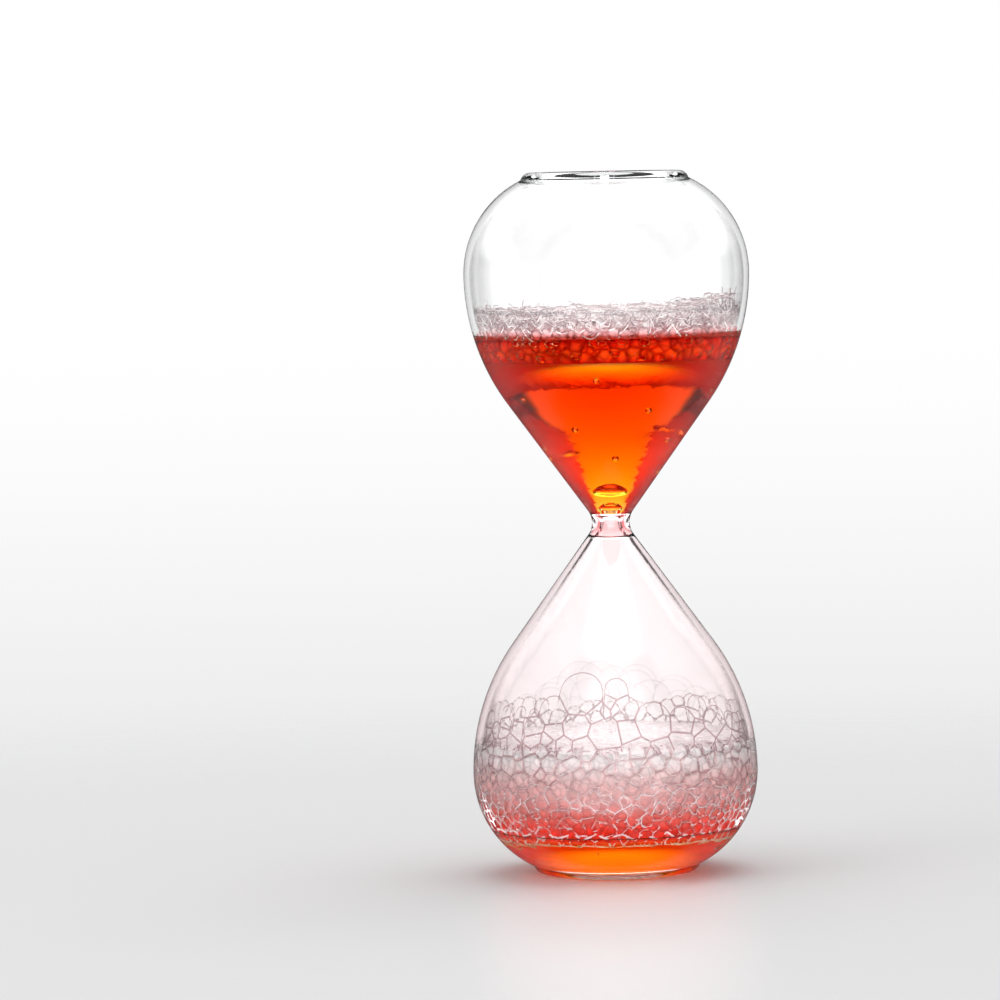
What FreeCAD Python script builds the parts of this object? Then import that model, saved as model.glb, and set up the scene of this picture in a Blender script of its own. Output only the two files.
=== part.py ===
import FreeCAD, Part

import math
import os

# Liquid motion timer: two blown-glass bulbs that meet in a narrow throat, holding dyed liquid and foam.
# Millimetres, +Z up. The origin is the middle of the ring that the lower bulb stands on.
# A reach is measured along the axis from the middle of the throat outward, alike for both bulbs.
# A level is a height above the surface that the timer stands on.
# A rise is a height above the middle of the throat, and a drop is a depth below it.

# Glass
OVERALL_HEIGHT = 137.8
BULB_DIAMETER = 56.0
WALL = 1.2
NECK_DIAMETER = 7.4
NECK_ROUND = 4.0
BORE_DIAMETER = 3.9
BORE_ROUND = 2.8
SIDE_ROUND = 43.5
EQUATOR_TO_RIM = 19.9
WAIST_COLLAR = 4.5

# Rolled rim and pushed-in end of each bulb
RIM_DIAMETER = 28.4
RIM_FLAT = 0.8
RIM_ROLL = 1.9
RIM_NOTCH_ANGLE = 14.0
DISH_DEPTH = 3.0

# Flame-sealed filling stub in the upper dish
FILL_HOLE_DIAMETER = 2.0
PIP_DIAMETER = 4.6
PIP_FOOT_ANGLE = 15.0
PIP_TIP_DIAMETER = 1.4
PIP_HEIGHT = 2.1

# Liquid and foam in the lower bulb
LOWER_LIQUID_LEVEL = 7.0
LOWER_WET_LEVEL = 14.5
LOWER_FINE_LEVEL = 28.0
LOWER_COARSE_LEVEL = 32.5

# Liquid and foam in the upper bulb
UPPER_LIQUID_FOOT_RISE = 2.0
UPPER_LIQUID_RISE = 32.1
UPPER_WET_RISE = 37.6
UPPER_RAFT_RISE = 41.9

# Liquid that clings to the glass
FILM = 0.2
NECK_FILM_RISE = 1.7
NECK_FILM_DROP = 2.9

# Bubbles that rise from the throat
RISING_DIAMETER = 5.4
RISING_CROWN = 2.0
RISING_BELLY = 1.1
RISING_BUBBLE_RISE = 7.3
BUDDING_DIAMETER = 3.7
BUDDING_CROWN = 1.5
BUDDING_BELLY = 1.2
BUDDING_BUBBLE_RISE = 3.6
BUBBLE_EDGE_ROUND = 0.8
BUBBLE_POCKET = 0.1

# Small bubbles on the upper cone's wall
WALL_BUBBLE_DIAMETER = 1.4
WALL_BUBBLE_COUNT = 16
WALL_BUBBLE_LOWEST_RISE = 11.1
WALL_BUBBLE_HIGHEST_RISE = 29.1
WALL_BUBBLE_GAP = 0.2

# Domes of foam bubbles
RAFT_DOME_DIAMETER = 3.2
RAFT_DOME_COUNT = 40
RAFT_CLIMB = 3.4
RAFT_CLIMB_START = 12.0
COARSE_DOME_DIAMETER = 4.6
COARSE_DOME_COUNT = 30
DOME_SIZES = 3
DOME_STEP = 0.25
DOME_TO_WALL = 0.5
DOME_SINK = 0.4
CELL_FILM = 0.1

# Large bubbles on the lower foam: centre east, centre north, level of the centre, diameter
LARGE_BUBBLES = [
    (-6.4, -4.0, 36.9, 9.2),
    (-0.2, -6.2, 37.6, 6.2),
    (-12.1, -5.5, 34.2, 7.0),
    (1.9, -9.6, 34.4, 6.4),
    (6.8, -7.0, 33.8, 8.2),
    (12.6, -9.0, 32.4, 7.2),
    (15.3, -12.4, 34.6, 5.0),
    (18.6, -6.4, 31.6, 7.2),
    (-2.6, -13.0, 31.8, 6.8),
    (-8.0, -11.2, 32.6, 5.6),
    (-3.0, 4.4, 36.6, 8.4),
    (4.6, 1.0, 36.6, 7.4),
    (-10.6, 3.4, 34.2, 7.6),
    (11.9, 0.6, 34.2, 7.8),
    (4.4, 9.6, 34.6, 7.8),
    (-4.6, 12.6, 33.0, 7.6),
    (11.6, 9.2, 33.0, 7.2),
    (-16.8, -0.6, 32.0, 6.2),
    (-12.6, 11.2, 32.0, 6.6),
    (4.8, 17.2, 32.0, 6.4),
]

GOLDEN_ANGLE = math.pi * (3 - math.sqrt(5))
MIDDLE = OVERALL_HEIGHT / 2
UPPER_LIQUID_BOTTOM = MIDDLE + UPPER_LIQUID_FOOT_RISE
UPPER_LIQUID_LEVEL = MIDDLE + UPPER_LIQUID_RISE
UPPER_WET_LEVEL = MIDDLE + UPPER_WET_RISE
UPPER_RAFT_LEVEL = MIDDLE + UPPER_RAFT_RISE
NECK_FILM_TOP = MIDDLE + NECK_FILM_RISE
NECK_FILM_BOTTOM = MIDDLE - NECK_FILM_DROP
RISING_LEVEL = MIDDLE + RISING_BUBBLE_RISE
BUDDING_LEVEL = MIDDLE + BUDDING_BUBBLE_RISE
WALL_BUBBLE_LOWEST = MIDDLE + WALL_BUBBLE_LOWEST_RISE
WALL_BUBBLE_HIGHEST = MIDDLE + WALL_BUBBLE_HIGHEST_RISE
RIM_REACH = MIDDLE
EQUATOR_REACH = RIM_REACH - EQUATOR_TO_RIM
BULB_RADIUS = BULB_DIAMETER / 2
BORE_RADIUS = BORE_DIAMETER / 2
UPPER = 1
LOWER = -1


def away(centre, radius, angle):
    """Point on a round, at an angle from the radial direction."""
    return (centre[0] + radius * math.cos(angle), centre[1] + radius * math.sin(angle))


def crossing(first, first_radius, second, second_radius):
    """The meeting point of two rounds that lies further from the axis."""
    across = second[0] - first[0]
    along = second[1] - first[1]
    apart = math.hypot(across, along)
    share = (apart**2 + first_radius**2 - second_radius**2) / (2 * apart)
    half = math.sqrt(first_radius**2 - share**2)
    points = []
    for turn in (half, -half):
        radius = first[0] + (share * across - turn * along) / apart
        reach = first[1] + (share * along + turn * across) / apart
        points.append((radius, reach))
    return max(points)


def cone_between(hollow, hollow_radius, side, side_radius):
    """Ends of the straight cone that touches the throat's hollow round and the bulb's side round."""
    across = hollow[0] - side[0]
    along = hollow[1] - side[1]
    apart = math.hypot(across, along)
    angle = math.atan2(along, across) + math.acos((hollow_radius + side_radius) / apart)
    return away(hollow, -hollow_radius, angle), away(side, side_radius, angle)


def on_line(start, end, reach):
    """Point of a straight line at a given reach."""
    share = (reach - start[1]) / (end[1] - start[1])
    return (start[0] + share * (end[0] - start[0]), reach)


# Rounds that both sides of the glass share
SIDE_CENTRE = (BULB_RADIUS - SIDE_ROUND, EQUATOR_REACH)
OUTER_ROLL = ((RIM_DIAMETER + RIM_FLAT) / 2, RIM_REACH - RIM_ROLL)
INNER_ROLL = ((RIM_DIAMETER - RIM_FLAT) / 2, RIM_REACH - RIM_ROLL)
NOTCH = away(OUTER_ROLL, RIM_ROLL, math.radians(RIM_NOTCH_ANGLE))
NOTCH_INWARD = BULB_RADIUS - NOTCH[0]
NOTCH_ALONG = NOTCH[1] - EQUATOR_REACH
SHOULDER_ROUND = (NOTCH_INWARD**2 + NOTCH_ALONG**2) / (2 * NOTCH_INWARD)
SHOULDER_CENTRE = (BULB_RADIUS - SHOULDER_ROUND, EQUATOR_REACH)
DISH_RISE = RIM_ROLL - DISH_DEPTH
DISH_ROUND = (INNER_ROLL[0] ** 2 + DISH_RISE**2 - RIM_ROLL**2) / (2 * DISH_DEPTH)
DISH_CENTRE = (0.0, RIM_REACH - DISH_DEPTH + DISH_ROUND)
DISH_LIP_ANGLE = math.atan2(DISH_CENTRE[1] - INNER_ROLL[1], -INNER_ROLL[0])
DISH_LIP = away(INNER_ROLL, RIM_ROLL, DISH_LIP_ANGLE)

# Outside of the cone, and the reach at which the thick throat gives way to the thin bulb
NECK_CENTRE = (NECK_DIAMETER / 2 + NECK_ROUND, 0.0)
CONE_START, CONE_END = cone_between(NECK_CENTRE, NECK_ROUND, SIDE_CENTRE, SIDE_ROUND)
WAIST_REACH = CONE_START[1] + WAIST_COLLAR
CONE_LEAN = math.cos(math.atan2(CONE_END[0] - CONE_START[0], CONE_END[1] - CONE_START[1]))


def dish_reach(radius, deeper=0.0):
    """Reach of the pushed-in end at a radius, or of its inner face where deeper is the wall."""
    return DISH_CENTRE[1] - math.sqrt((DISH_ROUND + deeper) ** 2 - radius**2)


def place(spot, side):
    """A point of an outline, given as radius and reach, in space."""
    return FreeCAD.Vector(spot[0], 0, MIDDLE + side * spot[1])


def straight(start, end, side):
    return Part.LineSegment(place(start, side), place(end, side)).toShape()


def rounded(start, end, centre, side):
    """Arc of less than half a turn about a centre."""
    radius = math.hypot(start[0] - centre[0], start[1] - centre[1])
    towards = (start[0] + end[0] - 2 * centre[0], start[1] + end[1] - 2 * centre[1])
    middle = away(centre, radius, math.atan2(towards[1], towards[0]))
    return Part.Arc(place(start, side), place(middle, side), place(end, side)).toShape()


def turned(edges):
    """Solid of revolution about the timer's axis."""
    face = Part.Face(Part.Wire(edges))
    return face.revolve(FreeCAD.Vector(0, 0, 0), FreeCAD.Vector(0, 0, 1), 360)


def inner_points(inset):
    """Corner points of the glass's inside, or of a surface that lies an inset further in."""
    bore_centre = (BORE_RADIUS + BORE_ROUND, 0.0)
    hollow = BORE_ROUND + inset
    thick = WALL + inset
    start, end = cone_between(bore_centre, hollow, SIDE_CENTRE, SIDE_ROUND - thick)
    corner = crossing(SHOULDER_CENTRE, SHOULDER_ROUND - thick, DISH_CENTRE, DISH_ROUND + thick)
    return {
        "bore_centre": bore_centre,
        "throat": (BORE_RADIUS - inset, 0.0),
        "cone_start": start,
        "cone_end": end,
        "equator": (BULB_RADIUS - thick, EQUATOR_REACH),
        "corner": corner,
        "pole": (0.0, dish_reach(0.0, thick)),
    }


def cavity(side, inset=0.0):
    """The space inside one bulb, from the middle of the throat to its pushed-in end."""
    inner = inner_points(inset)
    origin = (0.0, 0.0)
    edges = [
        straight(origin, inner["throat"], side),
        rounded(inner["throat"], inner["cone_start"], inner["bore_centre"], side),
        straight(inner["cone_start"], inner["cone_end"], side),
        rounded(inner["cone_end"], inner["equator"], SIDE_CENTRE, side),
        rounded(inner["equator"], inner["corner"], SHOULDER_CENTRE, side),
        rounded(inner["corner"], inner["pole"], DISH_CENTRE, side),
        straight(inner["pole"], origin, side),
    ]
    return turned(edges)


def bulb(side, hole_radius):
    """Blown bulb: thin cone, side and shoulder, rolled rim with a flat to stand on, pushed-in end."""
    inner = inner_points(0.0)
    collar = on_line(CONE_START, CONE_END, WAIST_REACH)
    inner_collar = on_line(inner["cone_start"], inner["cone_end"], WAIST_REACH)
    equator = (BULB_RADIUS, EQUATOR_REACH)
    hole = (hole_radius, dish_reach(hole_radius))
    inner_hole = (hole_radius, dish_reach(hole_radius, WALL))
    rim_outer = (OUTER_ROLL[0], RIM_REACH)
    rim_inner = (INNER_ROLL[0], RIM_REACH)
    edges = [
        straight(inner_collar, collar, side),
        straight(collar, CONE_END, side),
        rounded(CONE_END, equator, SIDE_CENTRE, side),
        rounded(equator, NOTCH, SHOULDER_CENTRE, side),
        rounded(NOTCH, rim_outer, OUTER_ROLL, side),
        straight(rim_outer, rim_inner, side),
        rounded(rim_inner, DISH_LIP, INNER_ROLL, side),
        rounded(DISH_LIP, hole, DISH_CENTRE, side),
        straight(hole, inner_hole, side),
        rounded(inner_hole, inner["corner"], DISH_CENTRE, side),
        rounded(inner["corner"], inner["equator"], SHOULDER_CENTRE, side),
        rounded(inner["equator"], inner["cone_end"], SIDE_CENTRE, side),
        straight(inner["cone_end"], inner_collar, side),
    ]
    return turned(edges)


def half_waist(side):
    """Thick throat from its middle to the collar where a bulb is fused on."""
    inner = inner_points(0.0)
    collar = on_line(CONE_START, CONE_END, WAIST_REACH)
    inner_collar = on_line(inner["cone_start"], inner["cone_end"], WAIST_REACH)
    neck = (NECK_DIAMETER / 2, 0.0)
    edges = [
        straight(inner["throat"], neck, side),
        rounded(neck, CONE_START, NECK_CENTRE, side),
        straight(CONE_START, collar, side),
        straight(collar, inner_collar, side),
        straight(inner_collar, inner["cone_start"], side),
        rounded(inner["cone_start"], inner["throat"], inner["bore_centre"], side),
    ]
    return turned(edges)


def waist():
    return half_waist(UPPER).fuse(half_waist(LOWER)).removeSplitter()


def pip_flare(foot, tip_centre, tip_radius):
    """Centre of the hollow round that leaves the dish at the foot and runs into the tip's round."""
    lean = math.radians(PIP_FOOT_ANGLE) - math.asin(foot[0] / DISH_ROUND)
    across = foot[0] - tip_centre[0]
    along = foot[1] - tip_centre[1]
    rise = math.sin(lean) * across + math.cos(lean) * along
    flare_round = (across**2 + along**2 - tip_radius**2) / (2 * (tip_radius - rise))
    return away(foot, flare_round, math.pi / 2 - lean)


def seal_pip():
    """Drawn-off glass stub: it plugs the filling hole and ends in a small round tip below the rim."""
    hole_radius = FILL_HOLE_DIAMETER / 2
    tip_radius = PIP_TIP_DIAMETER / 2
    inner_pole = (0.0, dish_reach(0.0, WALL))
    inner_hole = (hole_radius, dish_reach(hole_radius, WALL))
    hole = (hole_radius, dish_reach(hole_radius))
    foot = (PIP_DIAMETER / 2, dish_reach(PIP_DIAMETER / 2))
    tip = (0.0, dish_reach(0.0) + PIP_HEIGHT)
    tip_centre = (0.0, tip[1] - tip_radius)
    flare_centre = pip_flare(foot, tip_centre, tip_radius)
    to_flare = math.atan2(flare_centre[1] - tip_centre[1], flare_centre[0])
    shoulder = away(tip_centre, tip_radius, to_flare)
    edges = [
        rounded(inner_pole, inner_hole, DISH_CENTRE, UPPER),
        straight(inner_hole, hole, UPPER),
        rounded(hole, foot, DISH_CENTRE, UPPER),
        rounded(foot, shoulder, flare_centre, UPPER),
        rounded(shoulder, tip, tip_centre, UPPER),
        straight(tip, inner_pole, UPPER),
    ]
    return turned(edges)


def layer(bottom, top):
    """Flat slab between two levels, wider than the glass."""
    return Part.makeCylinder(BULB_DIAMETER, top - bottom, FreeCAD.Vector(0, 0, bottom))


def cap_round(half_width, height):
    """Radius of the shallow dome that runs into the tight round at a flat bubble's edge."""
    inward = half_width - BUBBLE_EDGE_ROUND
    return (inward**2 + height**2 - BUBBLE_EDGE_ROUND**2) / (2 * (height - BUBBLE_EDGE_ROUND))


def flat_bubble(diameter, crown, belly, level, grow=0.0):
    """Bubble squashed by its own rise: a dome above and below its widest level, and a tight edge."""
    half_width = diameter / 2
    middle = level - MIDDLE
    edge_centre = (half_width - BUBBLE_EDGE_ROUND, middle)
    edge = (half_width + grow, middle)
    edges = []
    poles = []
    for up, height in ((1, crown), (-1, belly)):
        dome = cap_round(half_width, height)
        centre = (0.0, middle + up * (height - dome))
        pole = (0.0, middle + up * (height + grow))
        angle = math.atan2(edge_centre[1] - centre[1], edge_centre[0])
        join = away(centre, dome + grow, angle)
        edges.append(rounded(edge, join, edge_centre, UPPER))
        edges.append(rounded(join, pole, centre, UPPER))
        poles.append(pole)
    edges.append(straight(poles[0], poles[1], UPPER))
    return turned(Part.__sortEdges__(edges))


def rising_bubble(grow=0.0):
    return flat_bubble(RISING_DIAMETER, RISING_CROWN, RISING_BELLY, RISING_LEVEL, grow)


def budding_bubble(grow=0.0):
    return flat_bubble(BUDDING_DIAMETER, BUDDING_CROWN, BUDDING_BELLY, BUDDING_LEVEL, grow)


def inside_radius(level):
    """Radius of the glass's inside at a level on the cone, the side or the shoulder."""
    inner = inner_points(0.0)
    reach = abs(level - MIDDLE)
    if reach < inner["cone_end"][1]:
        return on_line(inner["cone_start"], inner["cone_end"], reach)[0]
    centre, outer = (SIDE_CENTRE, SIDE_ROUND) if reach < EQUATOR_REACH else (SHOULDER_CENTRE, SHOULDER_ROUND)
    return centre[0] + math.sqrt((outer - WALL) ** 2 - (reach - EQUATOR_REACH) ** 2)


def wall_bubbles():
    """Small bubbles in a winding scatter up the cone, each just clear of the glass."""
    ball_radius = WALL_BUBBLE_DIAMETER / 2
    step = (WALL_BUBBLE_HIGHEST - WALL_BUBBLE_LOWEST) / (WALL_BUBBLE_COUNT - 1)
    balls = []
    for number in range(WALL_BUBBLE_COUNT):
        level = WALL_BUBBLE_LOWEST + number * step
        out = inside_radius(level) - (ball_radius + WALL_BUBBLE_GAP) / CONE_LEAN
        angle = number * GOLDEN_ANGLE
        centre = FreeCAD.Vector(out * math.cos(angle), out * math.sin(angle), level)
        balls.append(Part.makeSphere(ball_radius, centre))
    return Part.makeCompound(balls)


def upper_liquid(clinging):
    """Dyed liquid in the upper cone, with a pocket round each bubble in it."""
    liquid = cavity(UPPER).common(layer(UPPER_LIQUID_BOTTOM, UPPER_LIQUID_LEVEL))
    pockets = [rising_bubble(BUBBLE_POCKET), budding_bubble(BUBBLE_POCKET)]
    return liquid.cut(pockets + clinging.Solids)


def lower_liquid():
    return cavity(LOWER).common(layer(0.0, LOWER_LIQUID_LEVEL))


def neck_film():
    """Wet sleeve on the throat's bore."""
    band = layer(NECK_FILM_BOTTOM, NECK_FILM_TOP)
    sleeves = [cavity(side).cut(cavity(side, FILM)).common(band) for side in (UPPER, LOWER)]
    return sleeves[0].fuse(sleeves[1]).removeSplitter()


def wall_film():
    """Film that drains down the lower bulb's wall, from the throat to the coarse foam's foot."""
    band = layer(LOWER_FINE_LEVEL, NECK_FILM_BOTTOM)
    return cavity(LOWER).cut(cavity(LOWER, FILM)).common(band)


def domes(count, diameter, level, level_at):
    """Round bubble tops spread evenly over the foam's width, with smaller ones between the larger."""
    spread = inside_radius(level) - diameter / 2 - DOME_TO_WALL
    balls = []
    for number in range(count):
        share = (2 * number + 1) / (2 * count)
        out = spread * math.sqrt(share)
        angle = number * GOLDEN_ANGLE
        east = out * math.cos(angle)
        north = out * math.sin(angle)
        radius = diameter / 2 * (1 - DOME_STEP * (number % DOME_SIZES))
        centre = FreeCAD.Vector(east, north, level_at(east) - DOME_SINK)
        balls.append(Part.makeSphere(radius, centre))
    return balls


def raft_level(east):
    """The upper foam is level, but climbs the wall on one side."""
    slope = RAFT_CLIMB / (BULB_RADIUS - RAFT_CLIMB_START)
    return UPPER_RAFT_LEVEL + max(0.0, east - RAFT_CLIMB_START) * slope


def upper_wet_foam():
    return cavity(UPPER).common(layer(UPPER_LIQUID_LEVEL, UPPER_WET_LEVEL))


def upper_foam_raft():
    """Dry foam on the wet layer, with a bumpy top."""
    corners = [
        (-BULB_RADIUS, UPPER_WET_LEVEL),
        (BULB_RADIUS, UPPER_WET_LEVEL),
        (BULB_RADIUS, raft_level(BULB_RADIUS)),
        (RAFT_CLIMB_START, UPPER_RAFT_LEVEL),
        (-BULB_RADIUS, UPPER_RAFT_LEVEL),
        (-BULB_RADIUS, UPPER_WET_LEVEL),
    ]
    outline = Part.makePolygon([FreeCAD.Vector(x, -BULB_RADIUS, z) for x, z in corners])
    block = Part.Face(outline).extrude(FreeCAD.Vector(0, BULB_DIAMETER, 0))
    tops = domes(RAFT_DOME_COUNT, RAFT_DOME_DIAMETER, UPPER_RAFT_LEVEL, raft_level)
    return block.common(cavity(UPPER)).fuse(tops)


def lower_wet_foam():
    return cavity(LOWER).common(layer(LOWER_LIQUID_LEVEL, LOWER_WET_LEVEL))


def lower_fine_foam():
    return cavity(LOWER).common(layer(LOWER_WET_LEVEL, LOWER_FINE_LEVEL))


def ball(bubble, grow=0.0, seam_angle=0.0):
    """Sphere whose seam lies in a chosen direction round its vertical axis."""
    centre = FreeCAD.Vector(*bubble[:3])
    sphere = Part.makeSphere(bubble[3] / 2 + grow)
    sphere.Placement = FreeCAD.Placement(centre, FreeCAD.Rotation(FreeCAD.Vector(0, 0, 1), seam_angle))
    return sphere


def neighbours(bubble):
    """The large bubbles that press against one of them."""
    centre = FreeCAD.Vector(*bubble[:3])
    others = [other for other in LARGE_BUBBLES if other is not bubble]
    return [
        other
        for other in others
        if (FreeCAD.Vector(*other[:3]) - centre).Length < (bubble[3] + other[3]) / 2 + CELL_FILM
    ]


def film_plane(first, second):
    """Half of space on the far side of the flat film between two bubbles that press together."""
    start = FreeCAD.Vector(*first[:3])
    towards = FreeCAD.Vector(*second[:3]) - start
    apart = towards.Length
    share = (apart**2 + (first[3] / 2) ** 2 - (second[3] / 2) ** 2) / (2 * apart)
    towards.normalize()
    size = BULB_DIAMETER
    foot = start + towards * (share - CELL_FILM / 2)
    slab = Part.makeBox(size, size, size, FreeCAD.Vector(-size / 2, -size / 2, 0))
    slab.Placement = FreeCAD.Placement(foot, FreeCAD.Rotation(FreeCAD.Vector(0, 0, 1), towards))
    return slab


def large_bubbles():
    """Dome bubbles on top of the foam, flattened where two of them share a film."""
    room = cavity(LOWER, FILM + CELL_FILM).common(layer(LOWER_FINE_LEVEL + CELL_FILM, MIDDLE))
    cells = []
    for bubble in LARGE_BUBBLES:
        touching = neighbours(bubble)
        east = sum(bubble[0] - other[0] for other in touching)
        north = sum(bubble[1] - other[1] for other in touching)
        seam_angle = math.degrees(math.atan2(north, east))
        cell = ball(bubble, 0.0, seam_angle).common(room)
        for other in touching:
            cell = cell.cut(film_plane(bubble, other))
        cells.append(cell)
    return Part.makeCompound(cells)


def lower_coarse_foam():
    """Large-celled foam that carries the large bubbles, with smaller domes between them."""
    slab = layer(LOWER_FINE_LEVEL, LOWER_COARSE_LEVEL)
    level = LOWER_COARSE_LEVEL
    tops = domes(COARSE_DOME_COUNT, COARSE_DOME_DIAMETER, level, lambda east: level)
    mound = slab.common(cavity(LOWER, FILM)).fuse(tops)
    return mound.cut([ball(bubble, CELL_FILM) for bubble in LARGE_BUBBLES])


def build():
    clinging = wall_bubbles()
    return {
        "upper_bulb": bulb(UPPER, FILL_HOLE_DIAMETER / 2),
        "lower_bulb": bulb(LOWER, 0.0),
        "waist": waist(),
        "seal_pip": seal_pip(),
        "upper_liquid": upper_liquid(clinging),
        "lower_liquid": lower_liquid(),
        "neck_film": neck_film(),
        "wall_film": wall_film(),
        "upper_wet_foam": upper_wet_foam(),
        "upper_foam_raft": upper_foam_raft(),
        "lower_wet_foam": lower_wet_foam(),
        "lower_fine_foam": lower_fine_foam(),
        "lower_coarse_foam": lower_coarse_foam(),
        "large_bubbles": large_bubbles(),
        "rising_bubble": rising_bubble(),
        "budding_bubble": budding_bubble(),
        "wall_bubbles": clinging,
    }


os.makedirs("parts", exist_ok=True)
for name, shape in build().items():
    shape.exportStep(f"parts/{name}.step")
    print(f"{name}: {len(shape.Solids)} solids, {shape.Volume:.1f} mm3, valid {shape.isValid()}")
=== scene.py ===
"""Liquid motion timer: blown-glass bulbs, dyed liquid and foam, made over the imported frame."""

import math

import bpy
import numpy as np
from mathutils import Matrix, Vector


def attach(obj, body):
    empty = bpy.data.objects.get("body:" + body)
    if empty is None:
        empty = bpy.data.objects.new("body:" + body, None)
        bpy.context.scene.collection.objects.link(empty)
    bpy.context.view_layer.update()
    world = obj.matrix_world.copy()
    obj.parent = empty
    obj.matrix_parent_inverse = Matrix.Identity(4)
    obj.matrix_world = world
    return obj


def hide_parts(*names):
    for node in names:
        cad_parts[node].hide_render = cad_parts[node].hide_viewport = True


bl_info = {
    "name": "Liquid Motion Timer",
    "version": (1, 0, 0),
    "blender": (4, 5, 0),
    "location": "3D View > Sidebar > Timer",
    "description": "Makes the glass, liquid, bubbles and foam of a liquid motion timer",
    "category": "Add Mesh",
}

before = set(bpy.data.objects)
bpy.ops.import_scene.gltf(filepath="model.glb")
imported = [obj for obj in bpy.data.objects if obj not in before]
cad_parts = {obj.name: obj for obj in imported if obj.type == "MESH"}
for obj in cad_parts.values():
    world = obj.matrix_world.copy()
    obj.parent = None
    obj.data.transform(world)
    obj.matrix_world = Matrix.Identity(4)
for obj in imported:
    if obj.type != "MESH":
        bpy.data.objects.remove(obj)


MM = 0.001
TURN = 2 * math.pi

# Outline of the glass, in millimetres: radius from the axis, and reach from the middle of the throat
MIDDLE = 68.9
BULB_RADIUS = 28.0
WALL = 1.2
NECK_CENTRE, NECK_ROUND = (7.7, 0.0), 4.0
BORE_CENTRE, BORE_ROUND = (4.75, 0.0), 2.8
SIDE_CENTRE, SIDE_ROUND = (-15.5, 49.0), 43.5
NOTCH = (16.4436, 67.4597)
SHOULDER_CENTRE, SHOULDER_ROUND = (7.48, 49.0), 20.52
ROLL_CENTRES, ROLL_ROUND = ((14.6, 67.0), (13.8, 67.0)), 1.9
DISH_CENTRE, DISH_ROUND = (0.0, 97.24), 31.34
PIP_FOOT, PIP_TIP, PIP_HEIGHT = 2.3, 0.7, 2.1
PIP_FOOT_ANGLE = 15.0
SEGMENTS = 160
UPPER, LOWER = 1, -1

# Levels above the surface that the timer stands on, in millimetres
LOWER_LIQUID_LEVEL = 7.0
LOWER_WET_LEVEL = 14.5
LOWER_FINE_LEVEL = 28.0
UPPER_LIQUID_BOTTOM = 70.9
UPPER_LIQUID_LEVEL = 101.0
UPPER_WET_LEVEL = 106.5
UPPER_RAFT_LEVEL = 110.8
NECK_FILM_BOTTOM = 66.0
NECK_FILM_TOP = 70.6
INTO_GLASS = 0.08

# Making of foam, in millimetres
MIRRORED_AT_WALL, MIRRORED_AT_LID = 3.0, 2.5
SHORTEST_ROD, LONGEST_ROD = 0.12, 5.0
ROD_GAP, ARC_GAP, SHEET_GAP = 0.14, 0.03, 0.26
BODY_SEGMENTS = 560
NEIGHBOURS, PUSH_SHARE = 12, 0.22
LIP_HEIGHT, LIP_WIDTH = 1.5, 1.2
WET_LINE_LEVEL, WET_LINE_GAP = LOWER_LIQUID_LEVEL + 2.7, 0.22
COARSE_FOOT, COARSE_GAP = 22.0, 0.4
SHEET_BOTTOM, SHEET_TOP = 24.6, 43.5
LOWER_ARCS, UPPER_ARCS = (11.5, 26.5), (106.6, 111.3)

# Floor, in metres
FLOOR_LEVEL = -0.00002

# Large bubbles on the lower foam, in millimetres: east, north, level of the centre, diameter
LARGE_BUBBLES = np.array([
    (-6.4, -4.0, 36.9, 9.2), (-0.2, -6.2, 37.6, 6.2), (-12.1, -5.5, 34.2, 7.0),
    (1.9, -9.6, 34.4, 6.4), (6.8, -7.0, 33.8, 8.2), (12.6, -9.0, 32.4, 7.2),
    (15.3, -12.4, 34.6, 5.0), (18.6, -6.4, 31.6, 7.2), (-2.6, -13.0, 31.8, 6.8),
    (-8.0, -11.2, 32.6, 5.6), (-3.0, 4.4, 36.6, 8.4), (4.6, 1.0, 36.6, 7.4),
    (-10.6, 3.4, 34.2, 7.6), (11.9, 0.6, 34.2, 7.8), (4.4, 9.6, 34.6, 7.8),
    (-4.6, 12.6, 33.0, 7.6), (11.6, 9.2, 33.0, 7.2), (-16.8, -0.6, 32.0, 6.2),
    (-12.6, 11.2, 32.0, 6.6), (4.8, 17.2, 32.0, 6.4),
])

# Bubbles that press against the front of the lower wall, in millimetres: east, level, radius
FRONT_BUBBLES = np.array([
    (-6.7, 37.1, 4.3), (0, 37.9, 2.2), (-12, 33.9, 2.9), (-1.2, 35.9, 1.2), (1.8, 34.2, 2.5), (6.9, 31.9, 3.6),
    (12.3, 31.5, 2.7), (15.3, 33.9, 2.3), (18.7, 31, 2.9), (15, 30.1, 1.2), (-23.4, 33.3, 1.6), (-20.6, 32.8, 1.5),
    (-18, 33, 1.4), (-15.6, 32.9, 1.2), (-12.1, 30, 1.7), (-7.7, 31, 2.3), (-3.8, 33.7, 2), (-2.3, 29.5, 2.9),
    (2.1, 30.3, 2.1), (3.8, 26.1, 2.3), (8.6, 26, 2.1), (-6.4, 26.6, 2.2), (-1.8, 25, 2.1), (12.3, 27.5, 2.2),
    (16.6, 27.1, 2.1), (20.6, 27.9, 2.2), (23.4, 30.3, 1.6), (-22.6, 29.2, 1.8), (-18.9, 29.4, 1.8), (-15.6, 28.1, 2),
    (-10.4, 26.8, 1.8),
])


# ---------------------------------------------------------------- outlines

def arc(centre, radius, start, end, count):
    """Points at equal angles on a round from one point to another, the short way."""
    a = math.atan2(start[1] - centre[1], start[0] - centre[0])
    b = math.atan2(end[1] - centre[1], end[0] - centre[0])
    b = a + (b - a + math.pi) % (2 * math.pi) - math.pi
    t = np.linspace(a, b, count)
    return np.stack([centre[0] + radius * np.cos(t), centre[1] + radius * np.sin(t)], 1)


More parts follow.
